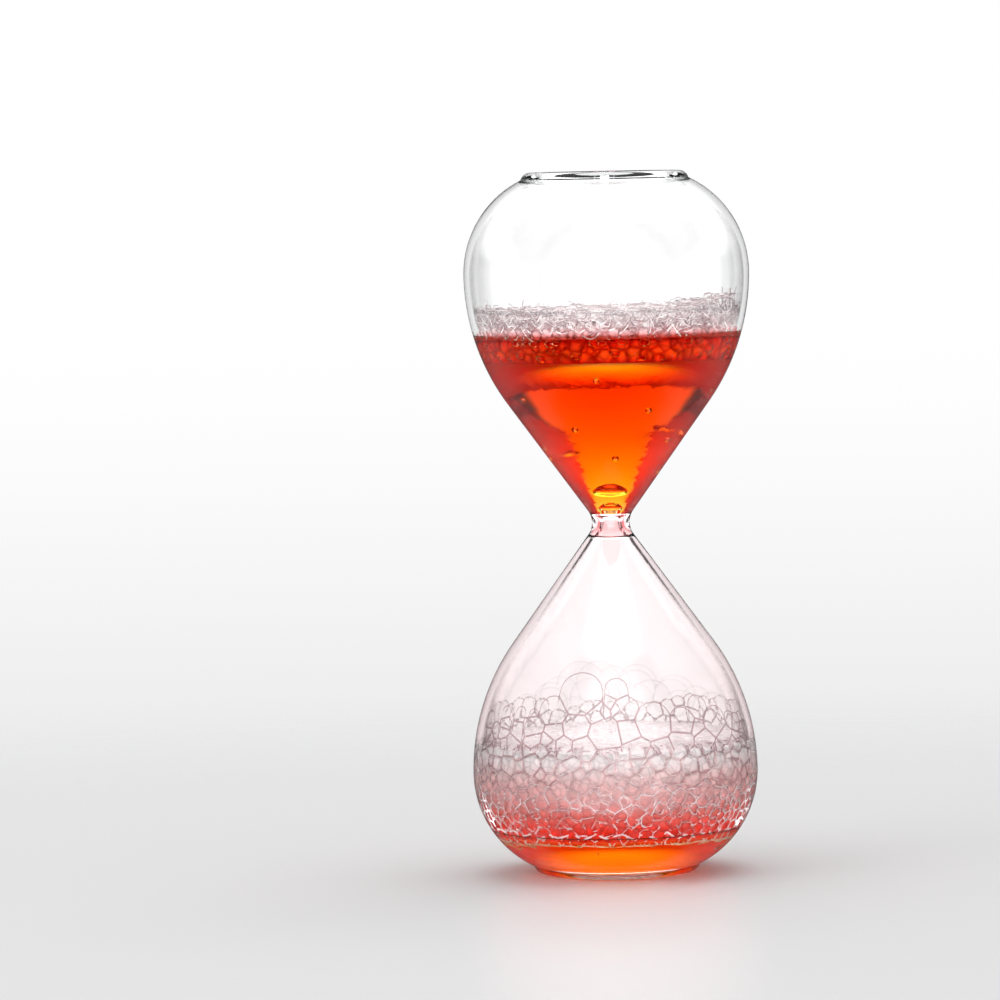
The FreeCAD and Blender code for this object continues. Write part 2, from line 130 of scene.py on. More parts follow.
def cone_between(hollow, hollow_radius, side, side_radius):
    """Ends of the straight line that touches a hollow round and a full round."""
    across, along = hollow[0] - side[0], hollow[1] - side[1]
    angle = math.atan2(along, across)
    angle += math.acos((hollow_radius + side_radius) / math.hypot(across, along))
    turn = np.array([math.cos(angle), math.sin(angle)])
    return np.array(hollow) - hollow_radius * turn, np.array(side) + side_radius * turn


def joined(*parts):
    """Runs of points end to end, without the doubled points."""
    points = np.concatenate([np.atleast_2d(p) for p in parts])
    step = np.hypot(*np.diff(points, axis=0).T)
    return points[np.concatenate([[True], step > 1e-6])]


def outer_outline():
    """Outside of one bulb from the throat to the edge of its dish: hollow round, cone, side, shoulder, rolled rim."""
    start, end = cone_between(NECK_CENTRE, NECK_ROUND, SIDE_CENTRE, SIDE_ROUND)
    equator = (BULB_RADIUS, SIDE_CENTRE[1])
    outer, inner = ROLL_CENTRES
    lean = math.atan2(DISH_CENTRE[1] - inner[1], -inner[0])
    lip = (inner[0] + ROLL_ROUND * math.cos(lean), inner[1] + ROLL_ROUND * math.sin(lean))
    line = np.linspace(start, end, 24)
    return joined(
        arc(NECK_CENTRE, NECK_ROUND, (3.7, 0.0), start, 9),
        line,
        arc(SIDE_CENTRE, SIDE_ROUND, end, equator, 34),
        arc(SHOULDER_CENTRE, SHOULDER_ROUND, equator, NOTCH, 40),
        arc(outer, ROLL_ROUND, NOTCH, (outer[0], MIDDLE), 9),
        arc(inner, ROLL_ROUND, (inner[0], MIDDLE), lip, 10),
    ), lip


def dish_reach(radius, deeper=0.0):
    """Reach of the dish's round at a radius."""
    return DISH_CENTRE[1] - np.sqrt((DISH_ROUND + deeper) ** 2 - radius**2)


def pip_outline():
    """Hollow round from the foot of the sealed stub, then its round tip, ending on the axis."""
    foot = np.array([PIP_FOOT, dish_reach(PIP_FOOT)])
    tip = np.array([0.0, dish_reach(0.0) + PIP_HEIGHT - PIP_TIP])
    lean = math.radians(PIP_FOOT_ANGLE) - math.asin(PIP_FOOT / DISH_ROUND)
    away = foot - tip
    rise = math.sin(lean) * away[0] + math.cos(lean) * away[1]
    radius = (away @ away - PIP_TIP**2) / (2 * (PIP_TIP - rise))
    centre = foot + radius * np.array([math.sin(lean), math.cos(lean)])
    to = (centre - tip) / np.linalg.norm(centre - tip)
    shoulder = tip + PIP_TIP * to
    return foot, joined(
        arc(centre, radius, foot, shoulder, 9),
        arc(tip, PIP_TIP, shoulder, (0.0, tip[1] + PIP_TIP), 7),
    )


def cavity_outline(grow=0.0):
    """Inside of one bulb from the throat to the middle of its dish, grown into the glass by a little."""
    bore_round = BORE_ROUND - grow
    side_round = SIDE_ROUND - WALL + grow
    shoulder_round = SHOULDER_ROUND - WALL + grow
    start, end = cone_between(BORE_CENTRE, bore_round, SIDE_CENTRE, side_round)
    equator = (SIDE_CENTRE[0] + side_round, SIDE_CENTRE[1])
    deep = DISH_ROUND + WALL - grow
    across, along = DISH_CENTRE[0] - SHOULDER_CENTRE[0], DISH_CENTRE[1] - SHOULDER_CENTRE[1]
    apart = math.hypot(across, along)
    share = (apart**2 + shoulder_round**2 - deep**2) / (2 * apart)
    half = math.sqrt(shoulder_round**2 - share**2)
    corner = (
        SHOULDER_CENTRE[0] + (share * across + half * along) / apart,
        SHOULDER_CENTRE[1] + (share * along - half * across) / apart,
    )
    return joined(
        arc(BORE_CENTRE, bore_round, (BORE_CENTRE[0] - bore_round, 0.0), start, 7),
        np.linspace(start, end, 26),
        arc(SIDE_CENTRE, side_round, end, equator, 30),
        arc(SHOULDER_CENTRE, shoulder_round, equator, corner, 34),
        arc(DISH_CENTRE, deep, corner, (0.0, DISH_CENTRE[1] - deep), 14),
    )


def placed(line, side):
    """Outline of one bulb in its place: the upper one as it is, the lower one turned over and run upward."""
    return (line if side == UPPER else line[::-1]) * (1, side) + (0, MIDDLE)


def flat_lid(radius, level):
    """Profile of a flat top, from its edge in to the axis."""
    return np.stack([np.linspace(radius, 0, 30), np.full(30, level)], 1)


def wall_radius(level, side, grow=0.0):
    """Inner radius of a bulb at a level, in millimetres, read off the cavity's outline before its dish."""
    line = cavity_outline(grow)
    line = line[: int(np.argmax(line[:, 1])) + 1]
    return np.interp(side * (np.asarray(level) - MIDDLE), line[:, 1], line[:, 0])


# ---------------------------------------------------------------- meshes

def polar(radius, angle, level):
    """Points (radius cos a, radius sin a, level) about the timer's axis."""
    return np.stack(np.broadcast_arrays(radius * np.cos(angle), radius * np.sin(angle), level), -1)


def rows_joined(rows, columns, closed=False):
    """Two triangles for each field between rows of points that close in a ring, and between the last row and the
    first one if closed."""
    here = np.arange(columns)
    row = np.arange(rows if closed else rows - 1)[:, None]
    a, b = row * columns + here, row * columns + (here + 1) % columns
    up = ((row + 1) % rows - row) * columns
    return np.concatenate([np.stack(t, 2).reshape(-1, 3) for t in ((a, b, b + up), (a, b + up, a + up))])


def facing_out(points, faces):
    """The surface with its triangles turned so that its volume, a sixth of the sum of the corner triple
    products, is positive."""
    a, b, c = points[faces[:, 0]], points[faces[:, 1]], points[faces[:, 2]]
    outward = np.einsum("ij,ij->i", a, np.cross(b, c)).sum() > 0
    return points, faces if outward else faces[:, ::-1]


def revolved(profile, segments=SEGMENTS):
    """Surface of revolution of a profile (radius, level) that starts and ends on the axis: each inner ring is
    (radius cos a, radius sin a, level) for equal angles a, and each end is one point."""
    rings = profile[1:-1]
    here = np.arange(segments)
    after = (here + 1) % segments
    ring = polar(rings[:, :1], here * (TURN / segments), rings[:, 1:])
    points = np.concatenate([[[0, 0, profile[0, 1]]], ring.reshape(-1, 3), [[0, 0, profile[-1, 1]]]])
    last = 1 + (len(rings) - 1) * segments
    foot = np.stack([np.zeros_like(here), after + 1, here + 1], 1)
    head = np.stack([np.full_like(here, len(points) - 1), last + here, last + after], 1)
    return facing_out(points, np.concatenate([1 + rows_joined(len(rings), segments), foot, head]))


def ring_revolved(loop):
    """Surface of revolution of a closed loop (radius, level) that stays off the axis."""
    points = polar(loop[:, :1], np.arange(SEGMENTS) * (TURN / SEGMENTS), loop[:, 1:])
    return facing_out(points.reshape(-1, 3), rows_joined(len(loop), SEGMENTS, closed=True))


def together(*parts):
    """Several surfaces as one, the faces renumbered."""
    starts = np.cumsum([0] + [len(p) for p, _ in parts[:-1]])
    return (np.concatenate([p for p, _ in parts]),
            np.concatenate([f + s for (_, f), s in zip(parts, starts)]))


def copied(faces, count, corners):
    """The triangles of one shape, numbered for a count of copies that have this many corners each."""
    return (faces + (np.arange(count) * corners)[:, None, None]).reshape(-1, 3)


def piece(name, surface, material, body, nodes, shade=None, inner=None):
    """A mesh object from arrays in millimetres, which rides on a body and stands for CAD nodes. Inner gives a
    second material and which faces take it."""
    points, faces = surface
    mesh = bpy.data.meshes.new(name)
    mesh.vertices.add(len(points))
    mesh.vertices.foreach_set("co", np.ascontiguousarray(points * MM, np.float32).ravel())
    mesh.loops.add(faces.size)
    mesh.loops.foreach_set("vertex_index", np.ascontiguousarray(faces, np.int32).ravel())
    mesh.polygons.add(len(faces))
    mesh.polygons.foreach_set("loop_start", np.arange(0, faces.size, 3, dtype=np.int32))
    mesh.polygons.foreach_set("use_smooth", np.ones(len(faces), bool))
    mesh.materials.append(material)
    if shade is not None:
        layer = mesh.attributes.new("shade", "FLOAT", "POINT")
        layer.data.foreach_set("value", np.ascontiguousarray(shade, np.float32))
    if inner:
        mesh.materials.append(inner[0])
        mesh.polygons.foreach_set("material_index", np.ascontiguousarray(inner[1], np.int32))
    mesh.update(calc_edges=True)
    obj = bpy.data.objects.new(name, mesh)
    bpy.context.scene.collection.objects.link(obj)
    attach(obj, body)
    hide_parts(*nodes)


# ---------------------------------------------------------------- bubbles and foam

def icosphere(fineness):
    """Corners and triangles of a round: an icosahedron, each triangle of it cut in four a number of times."""
    g = (1 + math.sqrt(5)) / 2
    p = np.array([(-1, g, 0), (1, g, 0), (-1, -g, 0), (1, -g, 0), (0, -1, g), (0, 1, g),
                  (0, -1, -g), (0, 1, -g), (g, 0, -1), (g, 0, 1), (-g, 0, -1), (-g, 0, 1)])
    f = np.array([(0, 11, 5), (0, 5, 1), (0, 1, 7), (0, 7, 10), (0, 10, 11), (1, 5, 9), (5, 11, 4),
                  (11, 10, 2), (10, 7, 6), (7, 1, 8), (3, 9, 4), (3, 4, 2), (3, 2, 6), (3, 6, 8),
                  (3, 8, 9), (4, 9, 5), (2, 4, 11), (6, 2, 10), (8, 6, 7), (9, 8, 1)])
    p = p / np.linalg.norm(p, axis=1)[:, None]
    for _ in range(fineness):
        p, f = finer(p, f)
    return p, f


def finer(points, faces):
    """Each triangle of a round cut in four, with the new corners pushed out to the round."""
    pairs = np.sort(np.concatenate([faces[:, [0, 1]], faces[:, [1, 2]], faces[:, [2, 0]]]), 1)
    edges, which = np.unique(pairs, axis=0, return_inverse=True)
    which = which.reshape(-1)
    middle = points[edges].mean(1)
    middle /= np.linalg.norm(middle, axis=1)[:, None]
    n, m = len(points), len(faces)
    ab, bc, ca = which[:m] + n, which[m:2 * m] + n, which[2 * m:] + n
    a, b, c = faces.T
    new = np.concatenate([np.stack(t, 1) for t in ((a, ab, ca), (b, bc, ab), (c, ca, bc), (ab, bc, ca))])
    return np.concatenate([points, middle]), new


def rounds(centres, radii, squash=np.ones((1, 3))):
    """A round of 80 faces at each centre, of its own radius and flattened by its own share."""
    p, f = icosphere(1)
    points = centres[:, None] + p * radii[:, None, None] * squash[:, None]
    return points.reshape(-1, 3), copied(f, len(centres), len(p))


def clipped_rounds(centres, radii):
    """Caps of merged bubbles: each round keeps the triangles that lie outside all the other rounds."""
    p, f = icosphere(3)
    points = centres[:, None] + p * radii[:, None, None]
    gap = ((points[:, :, None] - centres[None, None]) ** 2).sum(3) - radii**2
    own = np.arange(len(centres))
    gap[own, :, own] = np.inf
    kept = (gap.min(2) > -0.02)[:, f].any(2)
    return points.reshape(-1, 3), copied(f, len(centres), len(p))[kept.ravel()]


def nearest(points, count):
    """For each point, the numbers of its nearest others, found in blocks of squared distances."""
    square = (points**2).sum(1)
    found = []
    for start in range(0, len(points), 512):
        block = points[start:start + 512]
        apart = square + (block**2).sum(1)[:, None] - 2 * block @ points.T
        apart[np.arange(len(block)), start + np.arange(len(block))] = np.inf
        found.append(np.argpartition(apart, count, axis=1)[:, :count])
    return np.concatenate(found)


def spread_out(points, spacing, keep_in, rounds_of=14):
    """Points pushed off near neighbours until they lie about a spacing apart, and kept inside a space."""
    for _ in range(rounds_of):
        near = nearest(points, NEIGHBOURS)
        gap = points[:, None] - points[near]
        apart = np.linalg.norm(gap, axis=2) + 1e-9
        wanted = (spacing[:, None] + spacing[near]) / 2
        push = np.clip(wanted - apart, 0, None) / apart
        points = keep_in(points + PUSH_SHARE * (gap * push[:, :, None]).sum(1))
    return points


def cell_edges(seeds, weights, real, count=22):
    """Edges of the cells that seeds share out between them. A cell's flat walls lie where the squared distance
    less the weight is equal for two seeds, an edge is the line where it is equal for three, and the other
    neighbours cut that line to its length."""
    near = nearest(seeds, count)
    first, second = np.triu_indices(count, 1)
    starts, ends, cells = [], [], []
    for start in range(0, real, 128):
        i = np.arange(start, min(real, start + 128))
        u = seeds[near[i]] - seeds[i][:, None]
        offset = ((u**2).sum(2) - weights[near[i]] + weights[i][:, None]) / 2
        j, k = near[i][:, first], near[i][:, second]
        rows, cols = np.nonzero((i[:, None] < j) & (i[:, None] < k))
        a, b = u[rows, first[cols]], u[rows, second[cols]]
        alpha, beta = offset[rows, first[cols]], offset[rows, second[cols]]
        d = np.cross(a, b)
        size = (d**2).sum(1)
        good = size > 1e-9
        rows, cols, a, b, d = rows[good], cols[good], a[good], b[good], d[good]
        alpha, beta, size = alpha[good], beta[good], size[good]
        y = (alpha[:, None] * np.cross(b, d) + beta[:, None] * np.cross(d, a)) / size[:, None]
        slope = np.einsum("tnc,tc->tn", u[rows], d)
        room = offset[rows] - np.einsum("tnc,tc->tn", u[rows], y)
        t = np.arange(len(rows))
        slope[t, first[cols]] = 0
        slope[t, second[cols]] = 0
        with np.errstate(divide="ignore", invalid="ignore"):
            cut = room / slope
        high = np.where(slope > 1e-12, cut, np.inf).min(1)
        low = np.where(slope < -1e-12, cut, -np.inf).max(1)
        length = (high - low) * np.sqrt(size)
        kept = np.isfinite(length) & (length > 0.02)
        origin = seeds[i][rows[kept]] + y[kept]
        starts.append(origin + low[kept][:, None] * d[kept])
        ends.append(origin + high[kept][:, None] * d[kept])
        cells.append(np.stack([i[rows], j[rows, cols], k[rows, cols]], 1)[kept])
    return np.concatenate(starts), np.concatenate(ends), np.concatenate(cells)


def bent_tubes(starts, ends, radius, bend, sides, rings, rng):
    """A thin bent rod along each edge: ring centres lie on the edge plus a sine bow, ring corners stand off it
    by the radius in two directions square to the edge, and both ends are closed."""
    along = ends - starts
    length = np.linalg.norm(along, axis=1)
    along = along / length[:, None]
    aside = np.cross(along, rng.normal(size=along.shape))
    aside /= np.linalg.norm(aside, axis=1)[:, None]
    other = np.cross(along, aside)
    t = np.linspace(0, 1, rings)
    bow = np.sin(math.pi * t)[None, :, None] * (bend * length)[:, None, None] * aside[:, None]
    centre = starts[:, None] + t[None, :, None] * (ends - starts)[:, None] + bow
    angle = np.arange(sides) * (TURN / sides)
    ring = np.cos(angle)[:, None] * aside[:, None, None] + np.sin(angle)[:, None] * other[:, None, None]
    points = centre[:, :, None] + np.broadcast_to(radius, length.shape)[:, None, None, None] * ring
    fan = np.arange(1, sides - 1)
    foot = np.stack([np.zeros_like(fan), fan + 1, fan], 1)
    head = foot[:, [0, 2, 1]] + (rings - 1) * sides
    faces = np.concatenate([rows_joined(rings, sides), foot, head])
    return points.reshape(-1, 3), copied(faces, len(length), rings * sides)


def mirrored_out(points, side):
    """Copies of the points near the wall, mirrored through it, so that the outer cells end at the wall."""
    radius = np.hypot(points[:, 0], points[:, 1])
    wall = wall_radius(points[:, 2], side)
    near = (wall - radius < MIRRORED_AT_WALL) & (radius > 1e-6)
    copies = points[near].copy()
    copies[:, :2] *= ((2 * wall[near] - radius[near]) / radius[near])[:, None]
    return copies, near


def tucked_in(points, side, margin, depth=math.inf):
    """Points drawn in to a margin off the wall, and drawn out to within a depth of that."""
    radius = np.hypot(points[:, 0], points[:, 1]) + 1e-9
    wall = wall_radius(points[:, 2], side) - margin
    bounded = np.clip(radius, np.maximum(wall - depth, 0.0), wall)
    points = points.copy()
    points[:, :2] *= (bounded / radius)[:, None]
    return points


def top_at(high, points):
    """Top of a layer at each point: the same level everywhere, or what a rule says."""
    return high(points) if callable(high) else high


def held_inside(side, low, high, depth, margin):
    """Rule that keeps points between two levels, off the wall by a margin, and within a depth of the wall."""
    def keep(points):
        points = points.copy()
        points[:, 2] = np.clip(points[:, 2], low + margin, top_at(high, points) - margin)
        return tucked_in(points, side, margin, depth)
    return keep


def foam_shell(rng, side, low, high, depth, sizes, amount, margin):
    """Seeds and sizes for a layer of foam: random points near the wall of a bulb, spread out to their sizes."""
    level = rng.uniform(low, high, amount)
    wall = wall_radius(level, side)
    radius = np.sqrt(rng.uniform(np.maximum(wall - depth, 0.0) ** 2, wall**2))
    points = polar(radius, rng.uniform(0, TURN, amount), level)
    size = sizes(points) * rng.uniform(0.72, 1.3, amount)
    return spread_out(points, size, held_inside(side, low, high, depth, margin)), size


def lid_seeds(rng, seeds, size, level, reach, amount, spacing):
    """Seeds of a layer of foam with more of them spread over its top."""
    radius = reach * np.sqrt(rng.uniform(0, 1, amount))
    over = polar(radius, rng.uniform(0, TURN, amount), level)
    own = np.full(amount, spacing)
    over = spread_out(over, own, lambda points: points)
    return np.concatenate([seeds, over]), np.concatenate([size, own])


def painted_glint_shade(rng, count, share, corners):
    """Shade for each corner of some rods: 1 on the share of them that take a painted glint, a pale colour standing in
    for a highlight, and low on the others.
    """
    return np.repeat(np.where(rng.uniform(0, 1, count) < share, 1.0, rng.uniform(0, 0.35, count)), corners)


def foam_rods(rng, points, size, side, low, high, thickness, bend, painted_glint_share):
    """Rods along the cell edges of a layer of foam, cut off at the wall, the bottom and the top, and their
    shade, which is 1 on the rods that take a painted glint."""
    weights = (size * 0.5) ** 2
    copies, near = mirrored_out(points, side)
    above = np.abs(top_at(high, points) - points[:, 2])
    near_top = above < MIRRORED_AT_LID
    over = points[near_top] + above[near_top][:, None] * (0, 0, 2)
    near_foot = points[:, 2] - low < MIRRORED_AT_LID
    under = points[near_foot] * (1, 1, -1) + (0, 0, 2 * low)
    seeds = np.concatenate([points, copies, over, under])
    weights = np.concatenate([weights, weights[near], weights[near_top], weights[near_foot]])
    starts, ends, cells = cell_edges(seeds, weights, len(points))
    real = (cells < len(points)).sum(1) >= 2
    starts, ends = starts[real], ends[real]
    middle = (starts + ends) / 2
    kept = np.linalg.norm(ends - starts, axis=1) < LONGEST_ROD
    kept &= np.hypot(middle[:, 0], middle[:, 1]) < wall_radius(middle[:, 2], side) - 0.02
    kept &= (middle[:, 2] > low - 0.2) & (middle[:, 2] < top_at(high, middle) + 0.3)
    starts, ends = tucked_in(starts[kept], side, ROD_GAP), tucked_in(ends[kept], side, ROD_GAP)
    long = np.linalg.norm(ends - starts, axis=1) > SHORTEST_ROD
    starts, ends = starts[long], ends[long]
    bow = bend * rng.uniform(-1, 1, len(starts))
    thick = thickness((starts[:, 2] + ends[:, 2]) / 2) * rng.uniform(0.7, 1.3, len(starts))
    return bent_tubes(starts, ends, thick, bow, 3, 3, rng), painted_glint_shade(rng, len(starts), painted_glint_share, 9)


def wall_arcs(rng, side, low, high, amount, length, bow, thick, depth, painted_glint_share):
    """Short bent rods along the wall at chance slants, and their shade, which is 1 on the rods that take a painted
    glint.
    """
    level = rng.uniform(low, high, amount)
    turn = rng.uniform(0, TURN, amount)
    tilt = rng.uniform(-1.1, 1.1, amount)
    half = length * rng.uniform(0.3, 0.8, amount)
    across = half * np.cos(tilt) / wall_radius(level, side)
    deep = depth * rng.uniform(0.2, 1.0, amount)
    ends = []
    for sign in (-1, 1):
        height = level + sign * half * np.sin(tilt)
        ends.append(polar(wall_radius(height, side) - deep, turn + sign * across, height))
    thick = thick * rng.uniform(0.7, 1.3, amount)
    points, faces = bent_tubes(*ends, thick, bow * rng.uniform(-1, 1, amount), 3, 5, rng)
    return (tucked_in(points, side, ARC_GAP), faces), painted_glint_shade(rng, amount, painted_glint_share, 15)


def two_least(points, centres, radii):
    """For each point, the two least of its squared distances from the centres less the squared radii, and the
    numbers of those centres, worked out in blocks."""
    square = (centres**2).sum(1) - radii**2
    values, owners = [], []
    for block in np.array_split(points, 60):
        power = square + (block**2).sum(1)[:, None] - 2 * block @ centres.T
        owners.append(np.argpartition(power, 1, axis=1)[:, :2])
        values.append(np.take_along_axis(power, owners[-1], 1))
    return np.concatenate(values), np.concatenate(owners)


def foam_body(seeds, size, side, low, high, gap, swell, rings, crown):
    """Closed body of dense foam inside a bulb: a revolved surface off the wall by a gap, raised by a dome over
    each seed. With f the distance of a point from the border between the two cells nearest to it, the dome is
    swell * sqrt(1 - (1 - f)**2) for f up to 1. The shade is 0 on a border and 1 inside a cell."""
    levels = np.linspace(low, high, rings)
    rounding = np.clip((high - levels) / LIP_HEIGHT, 0, 1)
    wall = wall_radius(levels, side) - gap
    wall = wall - LIP_WIDTH * (1 - np.sqrt(rounding * (2 - rounding)))
    foot = np.stack([np.linspace(0, wall[0], 12), np.full(12, low)], 1)
    profile = joined(foot, np.stack([wall, levels], 1), flat_lid(wall[-1], high))
    points, faces = revolved(profile, BODY_SEGMENTS)
    least, _ = two_least(points, seeds, size * 0.5)
    off = np.clip((least[:, 1] - least[:, 0]) / (1.6 * size.mean()), 0, 1)
    dome = swell * np.sqrt(off * (2 - off))
    outward = points * (1, 1, 0)
    outward /= np.linalg.norm(outward, axis=1)[:, None] + 1e-9
    outward[points[:, 2] > high - 0.01] = (0, 0, crown)
    dome[points[:, 2] < low + 0.01] = 0
    return (tucked_in(points + dome[:, None] * outward, side, -0.05), faces), np.clip(off / 0.45, 0, 1)


def wall_cells(centres, radii, low, high, columns, rings):
    """Sheet just inside the lower wall from a level up to the scalloped line where the rounds on it end. The
    shade is the distance in millimetres from the nearest border: with p and q the least two of the squared
    distances from the centres less the squared radii, (q - p) / (2 * distance between those two centres)."""
    here = np.arange(columns)

    def on_wall(levels):
        return polar(wall_radius(levels, LOWER) - SHEET_GAP, here * (TURN / columns), levels).reshape(-1, 3)

    tries = 240
    levels = np.broadcast_to(np.linspace(low, high, tries)[:, None], (tries, columns))
    least = two_least(on_wall(levels), centres, radii)[0][:, 0].reshape(tries, columns)
    last = tries - 2 - np.argmax(least[::-1][1:] < 0, axis=0)
    part = least[last, here] / (least[last, here] - least[last + 1, here])
    top = low + (last + np.clip(part, 0, 1)) * (high - low) / (tries - 1)
    levels = low + (top - low) * np.linspace(0, 1, rings)[:, None]
    points = on_wall(levels)
    pair, owner = two_least(points, centres, radii)
    border = (pair[:, 1] - pair[:, 0]) / (2 * np.linalg.norm(centres[owner[:, 0]] - centres[owner[:, 1]], axis=1))
    slope = np.maximum(np.abs(np.roll(top, 1) - top), np.abs(np.roll(top, -1) - top))
    slope = slope / (TURN * wall_radius(top, LOWER) / columns)
    edge = ((top - levels) / np.sqrt(1 + slope**2)).ravel()
    return (points, rows_joined(rings, columns)), np.minimum(border, edge)


# ---------------------------------------------------------------- materials

class Tree:
    """Short way to add and join nodes."""

    def __init__(self, tree):
        self.tree = tree
        tree.nodes.clear()

    def add(self, kind, inputs=None, **settings):
        """A node with these settings, each input linked to a socket or set to a constant."""
        node = self.tree.nodes.new(kind)
        for key, value in settings.items():
            setattr(node, key, value)
        for key, value in (inputs or {}).items():
            socket = node.inputs[key]
            if isinstance(value, bpy.types.NodeSocket):
                self.tree.links.new(value, socket)
            else:
                socket.default_value = (*value, 1) if socket.type == "RGBA" else value
        return node

    def maths(self, operation, *values):
        return self.add("ShaderNodeMath", dict(enumerate(values)), operation=operation).outputs[0]

    def times(self, first, second):
        return self.maths("MULTIPLY", first, second)

    def rest(self, value):
        """What is left of 1."""
        return self.maths("SUBTRACT", 1.0, value)

    def vector(self, operation, inputs, output=0):
        return self.add("ShaderNodeVectorMath", inputs, operation=operation).outputs[output]

    def part(self, vector, number):
        return self.add("ShaderNodeSeparateXYZ", {0: vector}).outputs[number]

    def span(self, value, low, high, start=0.0, end=1.0, ease="LINEAR"):
        """Number that goes from start to end while a value goes from low to high."""
        values = dict(enumerate((value, low, high, start, end)))
        return self.add("ShaderNodeMapRange", values, interpolation_type=ease).outputs[0]

    def eased(self, *values):
        """The same, slow at both ends."""
        return self.span(*values, ease="SMOOTHSTEP")

    def blend(self, share, first, second):
        """Number between two others."""
        return self.add("ShaderNodeMix", {0: share, 2: first, 3: second}).outputs[0]

    def tint(self, share, first, second):
        """Colour between two others."""
        return self.add("ShaderNodeMix", {0: share, 6: first, 7: second}, data_type="RGBA").outputs[2]

    def ramp(self, value, stops):
        """Colour from a list of places and colours."""
        node = self.add("ShaderNodeValToRGB", {0: value})
        marks = node.color_ramp.elements
        for number in (0, -1):
            marks[number].position, marks[number].color = stops[number][0], (*stops[number][1], 1)
        for place, colour in stops[1:-1]:
            marks.new(place).color = (*colour, 1)
        return node.outputs[0]

    def place(self):
        return self.add("ShaderNodeTexCoord").outputs["Object"]

    def shade(self):
        return self.add("ShaderNodeAttribute", attribute_name="shade").outputs["Fac"]

    def surface(self, inputs, **more):
        """Principled surface with these inputs, as the material's output."""
        shader = self.add("ShaderNodeBsdfPrincipled", inputs)
        self.add("ShaderNodeOutputMaterial", {"Surface": shader.outputs[0], **more})


def new_material(name):
    material = bpy.data.materials.new(name)
    material.use_nodes = True
    return material, Tree(material.node_tree)


def node_group(name, inputs, outputs, fill):
    """Group of nodes with number sockets, made once. Fill takes its tree and inputs, and gives its outputs."""
    if name not in bpy.data.node_groups:
        group = bpy.data.node_groups.new(name, "ShaderNodeTree")
        tree = Tree(group)
        for way, keys in (("INPUT", inputs), ("OUTPUT", outputs)):
            for key in keys:
                group.interface.new_socket(key, in_out=way, socket_type="NodeSocketFloat")
        given = tree.add("NodeGroupInput").outputs
        tree.add("NodeGroupOutput", dict(enumerate(fill(tree, *given[:len(inputs)]))))
    return bpy.data.node_groups[name]


def waver(tree, broad_scale, fine_scale, fine_share):
    """Slow unevenness of a blown or wet surface: two scales of noise as one height."""
    place = tree.place()
    broad = tree.add("ShaderNodeTexNoise", {"Vector": place, "Scale": broad_scale, "Detail": 1.0})
    fine = tree.add("ShaderNodeTexNoise", {"Vector": place, "Scale": fine_scale, "Detail": 2.0})
    return [tree.maths("ADD", broad.outputs[0], tree.times(fine.outputs[0], fine_share))]


def packed_cells(tree, scale, border, low, high):
    """Look of packed bubbles on a body's surface: borders from the distance to the cell edges, domes, the share
    of the way from one level to another, and a chance number for each cell."""
    place = tree.place()
    noise = tree.add("ShaderNodeTexNoise", {"Vector": place, "Scale": 260.0, "Detail": 1.0})
    shift = tree.vector("SCALE", {0: noise.outputs["Color"], "Scale": 0.0012})
    cell = {"Vector": tree.vector("ADD", {0: place, 1: shift}), "Scale": scale}
    edge = tree.add("ShaderNodeTexVoronoi", cell, feature="DISTANCE_TO_EDGE").outputs["Distance"]
    dome = tree.add("ShaderNodeTexVoronoi", cell, feature="F1").outputs
    return (tree.eased(edge, 0.0, border, 1.0, 0.0), dome["Distance"],
            tree.span(tree.part(place, 2), low, high), tree.part(dome["Color"], 0))


def glassy(name, ior, broad, fine, strength, absorb=None, density=0.0, share=0.2, tint=(1, 1, 1),
           gleam=(1, 1, 1)):
    """Clear refracting matter with a slightly uneven surface, which may take up light along its depth."""
    material, tree = new_material(name)
    group = node_group("surface_waver", ("Broad Scale", "Fine Scale", "Fine Share"), ("Height",), waver)
    height = tree.add("ShaderNodeGroup", node_tree=group)
    for socket, value in zip(height.inputs, (broad, fine, share)):
        socket.default_value = value
    bump = tree.add("ShaderNodeBump", {"Height": height.outputs[0], "Strength": strength, "Distance": 0.001})
    depth = {}
    if absorb:
        volume = tree.add("ShaderNodeVolumeAbsorption", {"Color": absorb, "Density": density})
        depth["Volume"] = volume.outputs[0]
    tree.surface({"Base Color": tint, "Roughness": 0.0, "IOR": ior, "Transmission Weight": 1.0,
                  "Specular Tint": gleam, "Normal": bump.outputs[0]}, **depth)
    return material


def border_material(name, low, high, stops):
    """Liquid rods between bubbles: the colour goes by level, and the rods with a high shade take a pale painted
    glint, a highlight painted into their colour.
    """
    material, tree = new_material(name)
    colour = tree.ramp(tree.span(tree.part(tree.place(), 2), low * MM, high * MM), stops)
    # painted glint: a pale base colour on the rods with a high shade
    tree.surface({"Base Color": tree.tint(tree.shade(), colour, (0.97, 0.88, 0.88)), "Roughness": 0.15})
    return material


